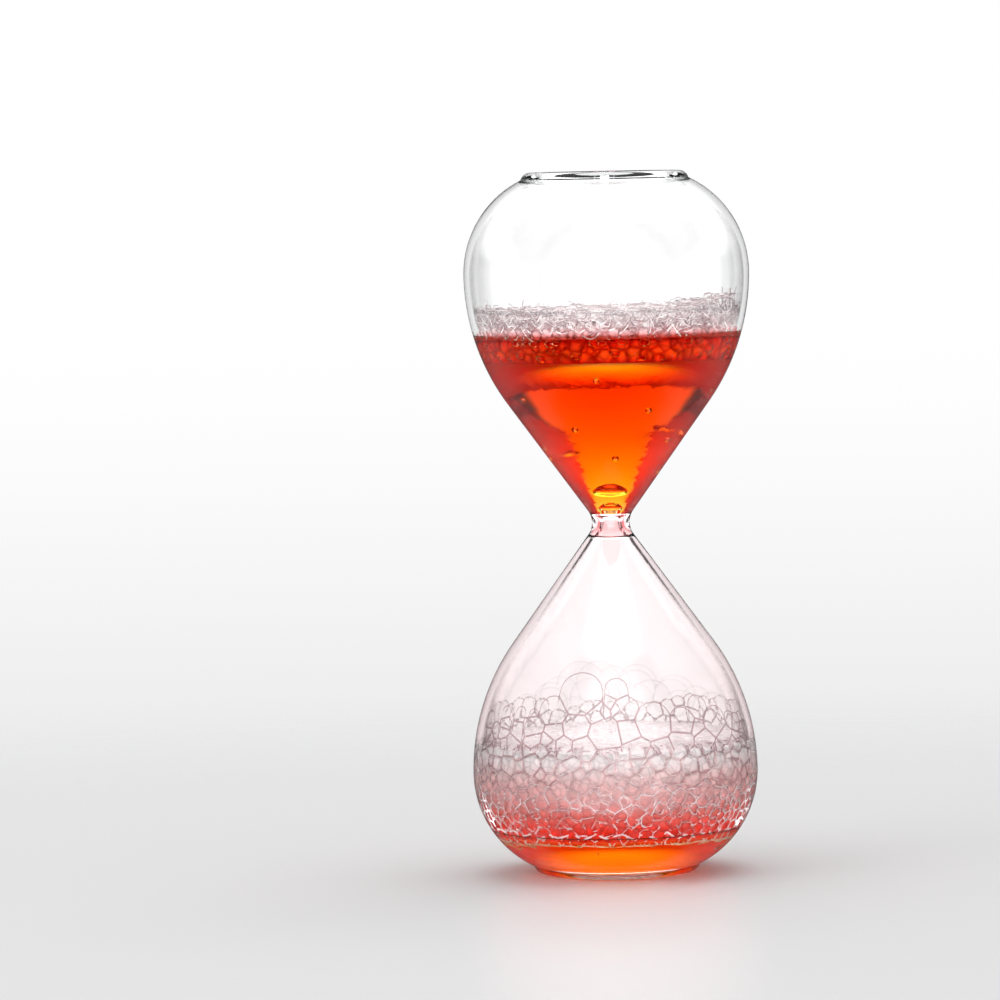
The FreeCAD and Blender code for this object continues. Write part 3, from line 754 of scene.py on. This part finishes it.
def foam_material(name, low, high, stops, scale, border_tint, contrast=0.2, shine=0.2, painted_glow=(0, 0, 0),
                  rim=(1, 1, 1), stretch=(1, 1, 0), painted_lid_light=(0, 0, 0)):
    """Dense foam seen as one body: the colour goes by level and takes a tint on the borders between its cells,
    with smaller cells of uneven paleness behind them. The middle of the underside has a painted glow, emission
    standing in for light that comes through the foam, with a rim of another colour round it, and stretch says
    how far the glow reaches each way; painted_lid_light is painted light on the top, emission where the top
    would be in shade."""
    material, tree = new_material(name)
    group = node_group("bubble_cells", ("Scale", "Border", "Low", "High"),
                       ("Border Mask", "Dome", "Level", "Chance"), packed_cells)
    cells = tree.add("ShaderNodeGroup", node_tree=group)
    for socket, value in zip(cells.inputs, (scale, 0.12, low * MM, high * MM)):
        socket.default_value = value
    level = cells.outputs["Level"]
    side = tree.span(level, 0.005, 0.03)
    below = tree.rest(side)
    uneven = tree.span(cells.outputs["Chance"], 0.0, 1.0, 1 - contrast, 1.04)
    border = tree.rest(tree.times(cells.outputs["Border Mask"], contrast))
    shade = tree.blend(side, 1.0, tree.times(uneven, border))
    reach = tree.vector("LENGTH", {0: tree.vector("MULTIPLY", {0: tree.place(), 1: stretch})}, "Value")
    outer = tree.eased(reach, 0.003, 0.014)
    colour = tree.tint(tree.times(below, outer), tree.ramp(level, stops), rim)
    colour = tree.vector("SCALE", {0: colour, "Scale": shade})
    cast = tree.tint(tree.maths("MAXIMUM", tree.shade(), below), border_tint, (1, 1, 1))
    # painted glow: emission in the middle of the underside, standing in for light that comes through the foam
    light = tree.tint(tree.times(below, tree.rest(outer)), (0, 0, 0), painted_glow)
    bump = tree.add("ShaderNodeBump", {"Height": cells.outputs["Dome"], "Strength": 0.5, "Distance": -0.0008})
    # Emission Color carries the painted glow and, near the highest level, the painted light on the top
    tree.surface({"Base Color": tree.vector("MULTIPLY", {0: colour, 1: cast}), "Roughness": 0.25,
                  "Specular IOR Level": shine, "Normal": bump.outputs[0], "Emission Strength": 1.0,
                  "Emission Color": tree.tint(tree.eased(level, 0.95, 0.995), light, painted_lid_light)})
    return material


def film_material(name, colour, face_on, edge_on):
    """Thin film that can hardly be seen face on, and shows as a fine line where it is seen edge on."""
    material, tree = new_material(name)
    slant = tree.maths("POWER", tree.add("ShaderNodeLayerWeight", {"Blend": 0.5}).outputs["Facing"], 6.0)
    tree.surface({"Base Color": colour, "Roughness": 0.08, "Alpha": tree.span(slant, 0.0, 1.0, face_on, edge_on)})
    return material


def lined_film(name, line, near, far, cell, border):
    """Clear film with thin borders, where the shade (millimetres from a border) is small."""
    material, tree = new_material(name)
    mask = tree.eased(tree.shade(), near, far, 1.0, 0.0)
    tree.surface({"Base Color": tree.tint(mask, (0.98, 0.93, 0.94), line), "Roughness": 0.3,
                  "Specular IOR Level": 0.2, "Alpha": tree.span(mask, 0.0, 1.0, cell, border)})
    return material


# ---------------------------------------------------------------- settings

class TimerGlassSettings(bpy.types.PropertyGroup):
    ior: bpy.props.FloatProperty(name="Glass IOR", description="How strongly the glass bends light",
                                 default=1.47, min=1.0, max=2.0)
    grey: bpy.props.FloatProperty(name="Glass density", description="Light that the glass takes up, per metre",
                                  default=40.0, min=0.0)
    tint: bpy.props.FloatVectorProperty(name="Glass tint", description="Colour that a metre of glass lets through",
                                        subtype="COLOR", default=(0.88, 0.90, 0.905), min=0, max=1)


class TimerLiquidSettings(bpy.types.PropertyGroup):
    ior: bpy.props.FloatProperty(name="Liquid IOR", description="How strongly the liquid bends light",
                                 default=1.34, min=1.0, max=2.0)
    density: bpy.props.FloatProperty(name="Dye density", description="Light that the dye takes up, per metre",
                                     default=405.0, min=0.0)
    dye: bpy.props.FloatVectorProperty(name="Dye colour", description="Colour that the dye lets through",
                                       subtype="COLOR", default=(0.992, 0.80, 0.0), min=0, max=1)


class TimerFoamSettings(bpy.types.PropertyGroup):
    seed: bpy.props.IntProperty(name="Foam seed", description="Number that fixes how the bubbles lie", default=7)
    wet: bpy.props.FloatVectorProperty(name="Wet border", description="Tint of the borders in wet foam",
                                       subtype="COLOR", default=(0.92, 0.42, 0.38), min=0, max=1)
    moist: bpy.props.FloatVectorProperty(name="Moist border", description="Tint of the borders above wet foam",
                                         subtype="COLOR", default=(0.62, 0.32, 0.32), min=0, max=1)
    dry: bpy.props.FloatVectorProperty(name="Dry border", description="Tint of the borders in dry foam",
                                       subtype="COLOR", default=(0.46, 0.31, 0.33), min=0, max=1)
    coarse: bpy.props.FloatVectorProperty(name="Coarse border", description="Tint of the borders of large bubbles",
                                          subtype="COLOR", default=(0.40, 0.23, 0.25), min=0, max=1)


class TimerStageSettings(bpy.types.PropertyGroup):
    floor: bpy.props.FloatVectorProperty(name="Floor", description="Colour of the floor", subtype="COLOR",
                                         default=(0.85, 0.85, 0.855), min=0, max=1)
    distance: bpy.props.FloatProperty(name="Camera distance", description="From the camera to the timer's axis",
                                      default=1.15, unit="LENGTH", subtype="DISTANCE")


# ---------------------------------------------------------------- operators

class TIMER_OT_glass(bpy.types.Operator):
    """Make the two bulbs, the throat and the sealed stub as one blown shell"""
    bl_idname = "timer.glass"
    bl_label = "Glass vessel"

    def execute(self, context):
        look = context.scene.timer_glass
        side, lip = outer_outline()
        dish = arc(DISH_CENTRE, DISH_ROUND, lip, (0.0, DISH_CENTRE[1] - DISH_ROUND), 12)
        foot, pip = pip_outline()
        upper_dish = arc(DISH_CENTRE, DISH_ROUND, lip, foot, 11)
        outside = joined(placed(joined(side, dish), LOWER), placed(joined(side, upper_dish, pip), UPPER))
        hollow = cavity_outline()
        inside = joined(placed(hollow, LOWER), placed(hollow, UPPER))
        for line in (outside, inside):
            line[[0, -1], 0] = 0
        shell, (void_points, void_faces) = revolved(outside), revolved(inside)
        blown = (look.ior, 45.0, 300.0, 0.03, look.tint, look.grey, 0.15)
        material = glassy("clear_glass", *blown)
        wetted = glassy("wetted_glass", *blown, gleam=(0, 0, 0))
        level = np.concatenate([points[faces, 2].mean(1) for points, faces in (shell, (void_points, void_faces))])
        second = (level < LOWER_WET_LEVEL) | ((level > UPPER_LIQUID_BOTTOM) & (level < UPPER_RAFT_LEVEL))
        piece("glass_vessel", together(shell, (void_points, void_faces[:, ::-1])), material, "vessel",
              ("upper_bulb", "lower_bulb", "waist", "seal_pip"), inner=(wetted, second))
        return {"FINISHED"}


class TIMER_OT_liquid(bpy.types.Operator):
    """Make the dyed liquid in both bulbs"""
    bl_idname = "timer.liquid"
    bl_label = "Liquid"

    def execute(self, context):
        look = context.scene.timer_liquid
        material = glassy("dyed_liquid", look.ior, 220.0, 900.0, 0.09, look.dye, look.density, 0.3,
                          gleam=(0, 0, 0))
        thinner = glassy("lower_dyed_liquid", look.ior, 120.0, 700.0, 0.04, look.dye, 0.7 * look.density, 0.3,
                         gleam=(0, 0, 0))
        levels = np.linspace(UPPER_LIQUID_BOTTOM, UPPER_WET_LEVEL, 60)
        wall = np.stack([wall_radius(levels, UPPER, INTO_GLASS), levels], 1)
        foot = np.linspace(0, wall[0, 0], 8)
        under = np.stack([foot, UPPER_LIQUID_BOTTOM + 0.5 * (1 - (foot / foot[-1]) ** 2)], 1)
        profile = joined(under, wall, flat_lid(wall[-1, 0], UPPER_WET_LEVEL))
        piece("upper_liquid_body", revolved(profile), material, "vessel",
              ("upper_liquid", "upper_wet_foam"))
        level = LOWER_LIQUID_LEVEL + 2.4
        hollow = placed(cavity_outline(INTO_GLASS), LOWER)
        past_dish = 14
        low = hollow[: int(np.searchsorted(hollow[past_dish:, 1], level)) + past_dish]
        profile = joined(low, flat_lid(float(wall_radius(level, LOWER, INTO_GLASS)), level))
        profile[0, 0] = 0
        piece("lower_liquid_body", revolved(profile), thinner, "vessel", ("lower_liquid",))
        return {"FINISHED"}


class TIMER_OT_wet_bubbles(bpy.types.Operator):
    """Make the flattened bubbles in the wet foam of the upper bulb"""
    bl_idname = "timer.wet_bubbles"
    bl_label = "Wet foam bubbles"

    def execute(self, context):
        rng = np.random.default_rng(context.scene.timer_foam.seed)
        air = glassy("air_in_liquid", 1 / context.scene.timer_liquid.ior, 900.0, 2000.0, 0.02,
                     tint=(0.92, 0.30, 0.16), gleam=(0.2, 0.02, 0.01))
        amount = 230
        points, sizes = foam_shell(rng, UPPER, UPPER_LIQUID_LEVEL, UPPER_WET_LEVEL, 1.2, lambda p: 3.1,
                                   amount, 1.3)
        squash = np.stack([np.ones(amount), np.ones(amount), rng.uniform(0.5, 0.8, amount)], 1)
        some = rng.uniform(0, 1, amount) < 0.35
        bubbles = rounds(points[some], np.minimum(sizes[some] * 0.42, 1.2), squash[some])
        piece("upper_wet_bubbles", bubbles, air, "vessel", ("upper_wet_foam",))
        low, high = UPPER_LIQUID_LEVEL + 0.3, UPPER_WET_LEVEL - 0.7
        stops = [(0.0, (1.0, 1.0, 0.9)), (0.004, (1.0, 1.0, 0.9)), (0.008, (0.3, 0.01, 0.0)),
                 (0.05, (0.80, 0.01, 0.005)), (0.35, (1.0, 0.07, 0.006)), (1.0, (0.95, 0.02, 0.01))]
        # painted glow: orange emission under the middle of the wet foam, standing in for light from above
        material = foam_material("wet_foam", low, high, stops, 300.0, (0.5, 0.08, 0.03), 0.3, 0.0,
                                 painted_glow=(0.8, 0.6, 0.2), rim=(0.6, 0.03, 0.005), stretch=(1, 0.55, 0))
        core, shade = foam_body(points, sizes, UPPER, low, high, 1.6, 1.0, 26, 0.5)
        piece("upper_wet_core", core, material, "vessel", ("upper_wet_foam",), shade=shade)
        return {"FINISHED"}


def flat_round(half, crown, belly, edge, count=14):
    """Profile of a flattened bubble: a shallow dome above and below that run into a tight round at the edge."""
    inward = half - edge
    top = (inward**2 + crown**2 - edge**2) / (2 * (crown - edge))
    low = (inward**2 + belly**2 - edge**2) / (2 * (belly - edge))
    centre_top, centre_low, rim = (0.0, crown - top), (0.0, low - belly), (inward, 0.0)
    to = np.array(rim) - centre_top
    meet_top = np.array(centre_top) + top * to / np.linalg.norm(to)
    to = np.array(rim) - centre_low
    meet_low = np.array(centre_low) + low * to / np.linalg.norm(to)
    return joined(
        arc(centre_low, low, (0.0, -belly), meet_low, count),
        arc(rim, edge, meet_low, (half, 0.0), 6),
        arc(rim, edge, (half, 0.0), meet_top, 6),
        arc(centre_top, top, meet_top, (0.0, crown), count),
    )


class TIMER_OT_rising(bpy.types.Operator):
    """Make the bubbles that rise from the throat and the small ones on the wall"""
    bl_idname = "timer.rising"
    bl_label = "Rising bubbles"

    def execute(self, context):
        air = glassy("rising_air", 1 / context.scene.timer_liquid.ior, 300.0, 900.0, 0.03)
        for name, half, crown, belly, level, body in (
            ("rising_bubble_air", 2.7, 2.0, 1.1, 76.2, "rising"),
            ("budding_bubble_air", 1.85, 1.5, 1.2, 72.5, "budding"),
        ):
            profile = flat_round(half, crown, belly, 0.8) + (0, level)
            piece(name, revolved(profile, 48), air, body, (body + "_bubble",))
        count = 16
        levels = np.linspace(80.0, 98.0, count)
        golden = math.pi * (3 - math.sqrt(5))
        centres = polar(wall_radius(levels, UPPER) - 1.1, np.arange(count) * golden, levels)
        piece("wall_bubble_air", rounds(centres, np.full(count, 0.7)), air, "vessel",
              ("wall_bubbles",))
        return {"FINISHED"}


class TIMER_OT_films(bpy.types.Operator):
    """Make the wet film on the throat and on the lower wall"""
    bl_idname = "timer.films"
    bl_label = "Wall films"

    def execute(self, context):
        ior = context.scene.timer_liquid.ior
        neck = glassy("neck_film_liquid", ior, 500.0, 1600.0, 0.05, (1.0, 0.75, 0.76), 2400.0, 0.5,
                      gleam=(0.3, 0.3, 0.3))
        draining = glassy("wall_film_liquid", ior, 300.0, 1600.0, 0.015, (1.0, 0.80, 0.82), 850.0, 0.5,
                          gleam=(0.2, 0.2, 0.2))
        for name, low, high, thick, node, material in (
            ("neck_film_skin", NECK_FILM_BOTTOM, NECK_FILM_TOP, 0.3, "neck_film", neck),
            ("wall_film_skin", LOWER_LIQUID_LEVEL + 2.2, NECK_FILM_BOTTOM, 0.2, "wall_film", draining),
        ):
            levels = np.linspace(low, high, 120)
            wall = np.where(levels < MIDDLE, wall_radius(levels, LOWER), wall_radius(levels, UPPER))
            ends = np.clip(np.minimum(levels - low, high - levels) / 1.5, 0, 1)
            depth = (thick + INTO_GLASS) * np.sqrt(1 - (1 - ends) ** 2) - INTO_GLASS
            outer = wall + INTO_GLASS + 0.002
            loop = np.concatenate([np.stack([outer, levels], 1), np.stack([wall - depth, levels], 1)[::-1]])
            piece(name, ring_revolved(loop), material, "vessel", (node,))
        return {"FINISHED"}


class TIMER_OT_fine_foam(bpy.types.Operator):
    """Make the wet and the fine foam of the lower bulb: a dense body, and liquid rods along the cells round it"""
    bl_idname = "timer.fine_foam"
    bl_label = "Fine foam"

    def execute(self, context):
        look = context.scene.timer_foam
        rng = np.random.default_rng(look.seed + 1)
        low, high = LOWER_LIQUID_LEVEL + 1.0, LOWER_FINE_LEVEL - 1.0
        body_low, body_high = LOWER_LIQUID_LEVEL + 1.4, LOWER_FINE_LEVEL - 1.6
        nodes = ("lower_fine_foam", "lower_wet_foam")
        points, size = foam_shell(
            rng, LOWER, low, high, 3.2,
            lambda p: 1.9 + 2.6 * np.clip((p[:, 2] - low) / (high - low), 0, 1) ** 2, 1250, 0.45)
        # painted glow under the middle of the fine foam, and painted light on its top, both as emission
        material = foam_material("fine_foam", body_low, body_high, [
            (0.0, (0.98, 0.22, 0.04)), (0.01, (0.98, 0.22, 0.04)), (0.02, (0.98, 0.03, 0.008)),
            (0.13, (0.96, 0.035, 0.015)), (0.28, (0.90, 0.15, 0.12)), (0.46, (0.87, 0.40, 0.39)),
            (0.70, (0.95, 0.70, 0.69)), (0.85, (1.0, 0.90, 0.90)), (1.0, (1.0, 0.97, 0.97))],
            620.0, (0.66, 0.44, 0.45), painted_glow=(0.9, 0.5, 0.05), rim=(0.98, 0.04, 0.01),
            painted_lid_light=(0.26, 0.235, 0.24))
        seeds, spacing = lid_seeds(rng, points, size, body_high, 22.0, 130, 3.4)
        core, pale = foam_body(seeds, spacing, LOWER, body_low, body_high, 0.85, 1.1, 90, 0.8)
        piece("fine_foam_core", core, material, "vessel", nodes, shade=pale)
        # painted glints: 0.35 of the rods and half of the arcs take the pale colour that stands in for highlights
        rods, shade = foam_rods(rng, points, size, LOWER, low, body_high + 0.3, rod_radius, 0.12, 0.35)
        arcs, arc_painted_glints = wall_arcs(rng, LOWER, *LOWER_ARCS, 1100, 2.6, 0.5, 0.1, 0.22, 0.5)
        borders = border_material("fine_borders", low, high, [
            (0.0, look.wet), (0.25, look.wet), (0.45, look.moist), (1.0, look.dry)])
        piece("lower_fine_borders", together(rods, arcs), borders, "vessel", nodes,
              shade=np.concatenate([shade, arc_painted_glints]))
        # Chain of thick rods on the wall at the wet line; its shade of 0.75 gives it mostly the pale glint colour, a
        # painted highlight along the line
        count = 64
        here = np.arange(count)
        turn = np.sort(rng.uniform(-0.25, 0.25, count) + here) * (TURN / count)
        level = WET_LINE_LEVEL + 0.5 * (-1.0) ** here + rng.uniform(-0.35, 0.35, count)
        line = polar(wall_radius(level, LOWER) - WET_LINE_GAP, turn, level)
        chain = bent_tubes(line, np.roll(line, -1, 0), 0.2, np.full(count, 0.02), 5, 4, rng)
        piece("lower_wet_line", chain, borders, "vessel", ("lower_wet_foam",),
              shade=np.full(len(chain[0]), 0.75))
        return {"FINISHED"}


def rod_radius(levels):
    """Rods are thick in wet foam and thin in dry foam, by the level in the lower bulb."""
    share = np.clip((levels - LOWER_LIQUID_LEVEL) / (LOWER_WET_LEVEL + 2 - LOWER_LIQUID_LEVEL), 0, 1)
    return 0.15 * (1 - share) + 0.085 * share


def raft_top(points):
    """Level of the raft's top: flat, with a climb up the wall at one side and a slow swell."""
    climb = np.clip(points[:, 0] - 12.0, 0, None) * 3.4 / 16.0
    swell = 0.5 * np.sin(points[:, 0] * 0.5 + 1.0) * np.cos(points[:, 1] * 0.43)
    return UPPER_RAFT_LEVEL + climb + swell


class TIMER_OT_raft(bpy.types.Operator):
    """Make the dry raft of foam on the upper liquid"""
    bl_idname = "timer.raft"
    bl_label = "Upper raft"


    def execute(self, context):
        rng = np.random.default_rng(context.scene.timer_foam.seed + 2)
        shell, shell_size = foam_shell(
            rng, UPPER, UPPER_WET_LEVEL, UPPER_RAFT_LEVEL, 3.2,
            lambda p: 1.9 + 0.9 * np.clip((p[:, 2] - UPPER_WET_LEVEL) / 4.3, 0, 1), 480, 0.3)
        amount = 150
        radius = 22.5 * np.sqrt(rng.uniform(0, 1, amount))
        angle = rng.uniform(0, TURN, amount)
        over = polar(radius, angle, rng.uniform(UPPER_RAFT_LEVEL - 2.0, UPPER_RAFT_LEVEL, amount))
        points = np.concatenate([shell, over])
        size = np.concatenate([shell_size, rng.uniform(3.0, 5.0, amount)])
        points = spread_out(points, size, held_inside(UPPER, UPPER_WET_LEVEL, raft_top, 60.0, 0.4), 8)
        # painted glints: 0.35 of the rods and 0.4 of the arcs take the pale colour that stands in for highlights
        rods, shade = foam_rods(rng, points, size, UPPER, UPPER_WET_LEVEL - 0.3, raft_top,
                                lambda z: 0.09 + 0.05 * np.clip((UPPER_WET_LEVEL + 2 - z) / 2, 0, 1), 0.16, 0.35)
        borders = border_material("raft_borders", UPPER_WET_LEVEL, UPPER_RAFT_LEVEL, [
            (0.0, (0.45, 0.04, 0.03)), (0.2, (0.42, 0.16, 0.17)), (0.5, (0.38, 0.22, 0.24)),
            (1.0, (0.48, 0.34, 0.36))])
        low, high = UPPER_WET_LEVEL - 0.6, UPPER_RAFT_LEVEL - 2.5
        body = foam_material("raft_foam", low, high, [
            (0.0, (0.70, 0.03, 0.02)), (0.2, (0.66, 0.12, 0.11)), (0.5, (0.72, 0.38, 0.38)),
            (1.0, (0.92, 0.83, 0.83))], 620.0, (0.62, 0.42, 0.43), rim=(0.8, 0.06, 0.04))
        seeds, spacing = lid_seeds(rng, shell, shell_size, high, 20.5, 150, 3.0)
        core, pale = foam_body(seeds, spacing, UPPER, low, high, 0.8, 1.0, 20, 1.8)
        arcs, arc_painted_glints = wall_arcs(rng, UPPER, *UPPER_ARCS, 700, 2.2, 0.6, 0.09, 0.3, 0.4)
        nodes = ("upper_foam_raft",)
        piece("raft_core", core, body, "vessel", nodes, shade=pale)
        piece("upper_raft_borders", together(rods, arcs), borders, "vessel", nodes,
              shade=np.concatenate([shade, arc_painted_glints]))
        return {"FINISHED"}


class TIMER_OT_coarse_foam(bpy.types.Operator):
    """Make the coarse foam and the large bubbles on the lower foam: films, borders and domes"""
    bl_idname = "timer.coarse_foam"
    bl_label = "Coarse foam and large bubbles"

    def execute(self, context):
        look = context.scene.timer_foam
        rng = np.random.default_rng(look.seed + 3)
        amount = 420
        turn = rng.uniform(0, TURN, amount)
        level = rng.uniform(COARSE_FOOT, 29.5 - 1.5 * np.sin(turn) + 0.8 * np.sin(3 * turn), amount)
        centres = polar(wall_radius(level, LOWER) - COARSE_GAP, turn, level)
        radii = (1.1 + 0.16 * (level - COARSE_FOOT)) * rng.uniform(0.75, 1.35, amount)
        centres = spread_out(centres, radii * 1.5, held_inside(LOWER, COARSE_FOOT, 31.0, 0.1, COARSE_GAP), 8)
        east, level, size = FRONT_BUBBLES.T
        front = np.stack([east, -np.sqrt((wall_radius(level, LOWER) - COARSE_GAP) ** 2 - east**2), level], 1)
        apart = np.linalg.norm(centres[:, None] - front, axis=2)
        clear = ((apart - size) > 0.25 * radii[:, None]).all(1)
        clear &= ~((np.abs(centres[:, 0]) < 23) & (centres[:, 1] < 0) & (centres[:, 2] > 31))
        sheet, shade = wall_cells(np.concatenate([front, centres[clear]]), np.concatenate([size, radii[clear]]),
                                  SHEET_BOTTOM, SHEET_TOP, 900, 70)
        lined = lined_film("lined_film", look.coarse, 0.1, 0.24, 0.06, 0.85)
        piece("coarse_foam_films", sheet, lined, "vessel", ("lower_coarse_foam", "large_bubbles"),
              shade=shade)
        film = film_material("bubble_film", (0.36, 0.20, 0.22), 0.004, 0.3)
        piece("large_bubble_domes", clipped_rounds(LARGE_BUBBLES[:, :3], LARGE_BUBBLES[:, 3] * 0.54), film,
              "vessel", ("large_bubbles",))
        return {"FINISHED"}


class TIMER_OT_stage(bpy.types.Operator):
    """Make the floor, the light and the camera"""
    bl_idname = "timer.stage"
    bl_label = "Stage"

    def execute(self, context):
        scene, look = context.scene, context.scene.timer_stage
        scene.view_settings.view_transform = "Standard"
        for bounces, most in (("max_bounces", 48), ("transmission_bounces", 48), ("glossy_bounces", 12),
                              ("diffuse_bounces", 4), ("transparent_max_bounces", 48)):
            setattr(scene.cycles, bounces, most)
        self.floor(look)
        self.world(scene)
        self.lamps(scene)
        self.camera(scene, look)
        return {"FINISHED"}

    def floor(self, look):
        """Flat round of floor that fades into the backdrop away from the timer."""
        radii, count = np.array([0.03, 0.12, 0.3, 0.7]), 96
        here = np.arange(count)
        rings = polar(radii[:, None], here * (TURN / count), FLOOR_LEVEL)
        points = np.concatenate([[[0, 0, FLOOR_LEVEL]], rings.reshape(-1, 3)])
        middle = np.stack([np.zeros_like(here), here + 1, (here + 1) % count + 1], 1)
        faces = np.concatenate([middle, 1 + rows_joined(len(radii), count)[:, ::-1]])
        mesh = bpy.data.meshes.new("floor")
        mesh.from_pydata(points.tolist(), [], faces.tolist())
        obj = bpy.data.objects.new("floor", mesh)
        bpy.context.scene.collection.objects.link(obj)
        material, tree = new_material("pale_floor")
        away = tree.vector("LENGTH", {0: tree.place()}, "Value")
        fade = tree.span(away, 0.09, 0.42, 1.0, 0.0, "SMOOTHERSTEP")
        ways = tree.add("ShaderNodeLightPath").outputs
        bent = tree.maths("MAXIMUM", ways["Is Glossy Ray"], ways["Is Transmission Ray"])
        shader = tree.add("ShaderNodeBsdfPrincipled", {
            "Base Color": look.floor, "Roughness": 0.35, "Specular IOR Level": 0.2})
        clear = tree.add("ShaderNodeBsdfTransparent")
        mix = tree.add("ShaderNodeMixShader", {
            0: tree.times(fade, tree.rest(bent)), 1: clear.outputs[0], 2: shader.outputs[0]})
        tree.add("ShaderNodeOutputMaterial", {"Surface": mix.outputs[0]})
        mesh.materials.append(material)

    def world(self, scene):
        """Even light for surfaces, a pale backdrop for the camera, and darker corners with lights above, in
        front and below for what is seen through the glass. All go by x, y and z of a ray's direction."""
        world = bpy.data.worlds.new("studio")
        scene.world = world
        world.use_nodes = True
        tree = Tree(world.node_tree)
        heading = tree.add("ShaderNodeTexCoord").outputs["Generated"]
        x, y, z = tree.add("ShaderNodeSeparateXYZ", {0: heading}).outputs
        flat = tree.maths("ADD", tree.times(x, x), tree.times(y, y))
        corner = tree.maths("DIVIDE", tree.maths("ABSOLUTE", tree.times(x, y)), flat)
        dark = tree.times(tree.span(z, -0.17, -0.13), tree.span(z, 0.82, 0.92, 1.0, 0.0))
        dark = tree.times(tree.eased(corner, 0.40, 0.475), dark)
        backdrop = tree.eased(z, -0.13, -0.03, 0.80, 1.0)
        overhead = tree.eased(z, 0.5, 0.8, 0.10, 1.2)
        under = tree.eased(z, -0.75, -0.88, 0.0, 1.15)
        zenith = tree.eased(z, 0.84, 0.92, 0.0, 4.0)
        table = tree.maths("SMOOTH_MIN", tree.maths("SUBTRACT", -0.16, z), tree.maths("ADD", z, 0.86), 0.1)
        table = tree.eased(table, 0.0, 0.12, 0.0, 1.7)
        front = tree.eased(y, -0.45, -0.75, 0.0, 2.8)
        window = tree.eased(z, 0.26, 0.36, 1.06, 1.3)
        through = tree.times(window, tree.rest(tree.times(dark, 0.97)))
        through = tree.maths("SUBTRACT", tree.maths("ADD", through, zenith), under)
        through = tree.maths("ADD", tree.maths("ADD", through, front), table)
        ways = tree.add("ShaderNodeLightPath").outputs
        own = tree.blend(ways["Is Camera Ray"], 0.75, backdrop)
        own = tree.blend(ways["Is Glossy Ray"], own, overhead)
        strength = tree.blend(ways["Is Transmission Ray"], own, through)
        light = tree.add("ShaderNodeBackground", {"Color": (1, 1, 1), "Strength": strength})
        tree.add("ShaderNodeOutputWorld", {"Surface": light.outputs[0]})

    def lamps(self, scene):
        """Two large soft lamps, above and at the left, that mirrors and glass don't show."""
        for name, place, size, power in (("top_softbox", (0.1, 0.3, 1.1), 0.9, 5.2),
                                         ("left_softbox", (-0.9, -0.5, 0.6), 0.8, 2.5)):
            lamp = bpy.data.lights.new(name, "AREA")
            lamp.shape, lamp.size, lamp.energy = "SQUARE", size, power
            obj = bpy.data.objects.new(name, lamp)
            obj.location = place
            obj.rotation_euler = (Vector(place) - Vector((0, 0, 0.06))).to_track_quat("Z", "Y").to_euler()
            obj.visible_glossy = False
            obj.visible_transmission = False
            scene.collection.objects.link(obj)

    def camera(self, scene, look):
        """Camera at the photograph's height and distance, turned a little about its own axis."""
        lens = bpy.data.cameras.new("camera")
        lens.sensor_width, lens.lens = 36.0, 211.0
        lens.clip_start, lens.clip_end = 0.05, 20.0
        camera = bpy.data.objects.new("camera", lens)
        east = -0.0217
        place, aim = Vector((east, -look.distance, 0.145)), Vector((east, 0.0, 0.0737))
        turn = (place - aim).to_track_quat("Z", "Y").to_matrix().to_4x4()
        roll = Matrix.Rotation(math.radians(-1.15), 4, "Z")
        camera.matrix_world = Matrix.Translation(place) @ turn @ roll
        scene.collection.objects.link(camera)
        scene.camera = camera


class TIMER_PT_panel(bpy.types.Panel):
    """Buttons that make the pieces of the timer"""
    bl_idname = "TIMER_PT_panel"
    bl_label = "Liquid Motion Timer"
    bl_space_type = "VIEW_3D"
    bl_region_type = "UI"
    bl_category = "Timer"

    def draw(self, context):
        for settings in ("timer_glass", "timer_liquid", "timer_foam", "timer_stage"):
            group = getattr(context.scene, settings)
            for key in group.__annotations__:
                self.layout.prop(group, key)
        for operator in OPERATORS:
            self.layout.operator(operator.bl_idname)


OPERATORS = (TIMER_OT_stage, TIMER_OT_glass, TIMER_OT_liquid, TIMER_OT_wet_bubbles, TIMER_OT_rising,
             TIMER_OT_films, TIMER_OT_fine_foam, TIMER_OT_raft, TIMER_OT_coarse_foam)
SETTINGS = {"timer_glass": TimerGlassSettings, "timer_liquid": TimerLiquidSettings,
            "timer_foam": TimerFoamSettings, "timer_stage": TimerStageSettings}


def register():
    for group in (*SETTINGS.values(), *OPERATORS, TIMER_PT_panel):
        bpy.utils.register_class(group)
    for name, group in SETTINGS.items():
        setattr(bpy.types.Scene, name, bpy.props.PointerProperty(type=group))


def unregister():
    for name in SETTINGS:
        delattr(bpy.types.Scene, name)
    for group in (TIMER_PT_panel, *OPERATORS[::-1], *SETTINGS.values()):
        bpy.utils.unregister_class(group)


def main():
    """Makes every piece in order."""
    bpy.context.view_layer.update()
    register()
    for operator in OPERATORS:
        family, name = operator.bl_idname.split(".")
        getattr(getattr(bpy.ops, family), name)()


if __name__ == "__main__":
    main()
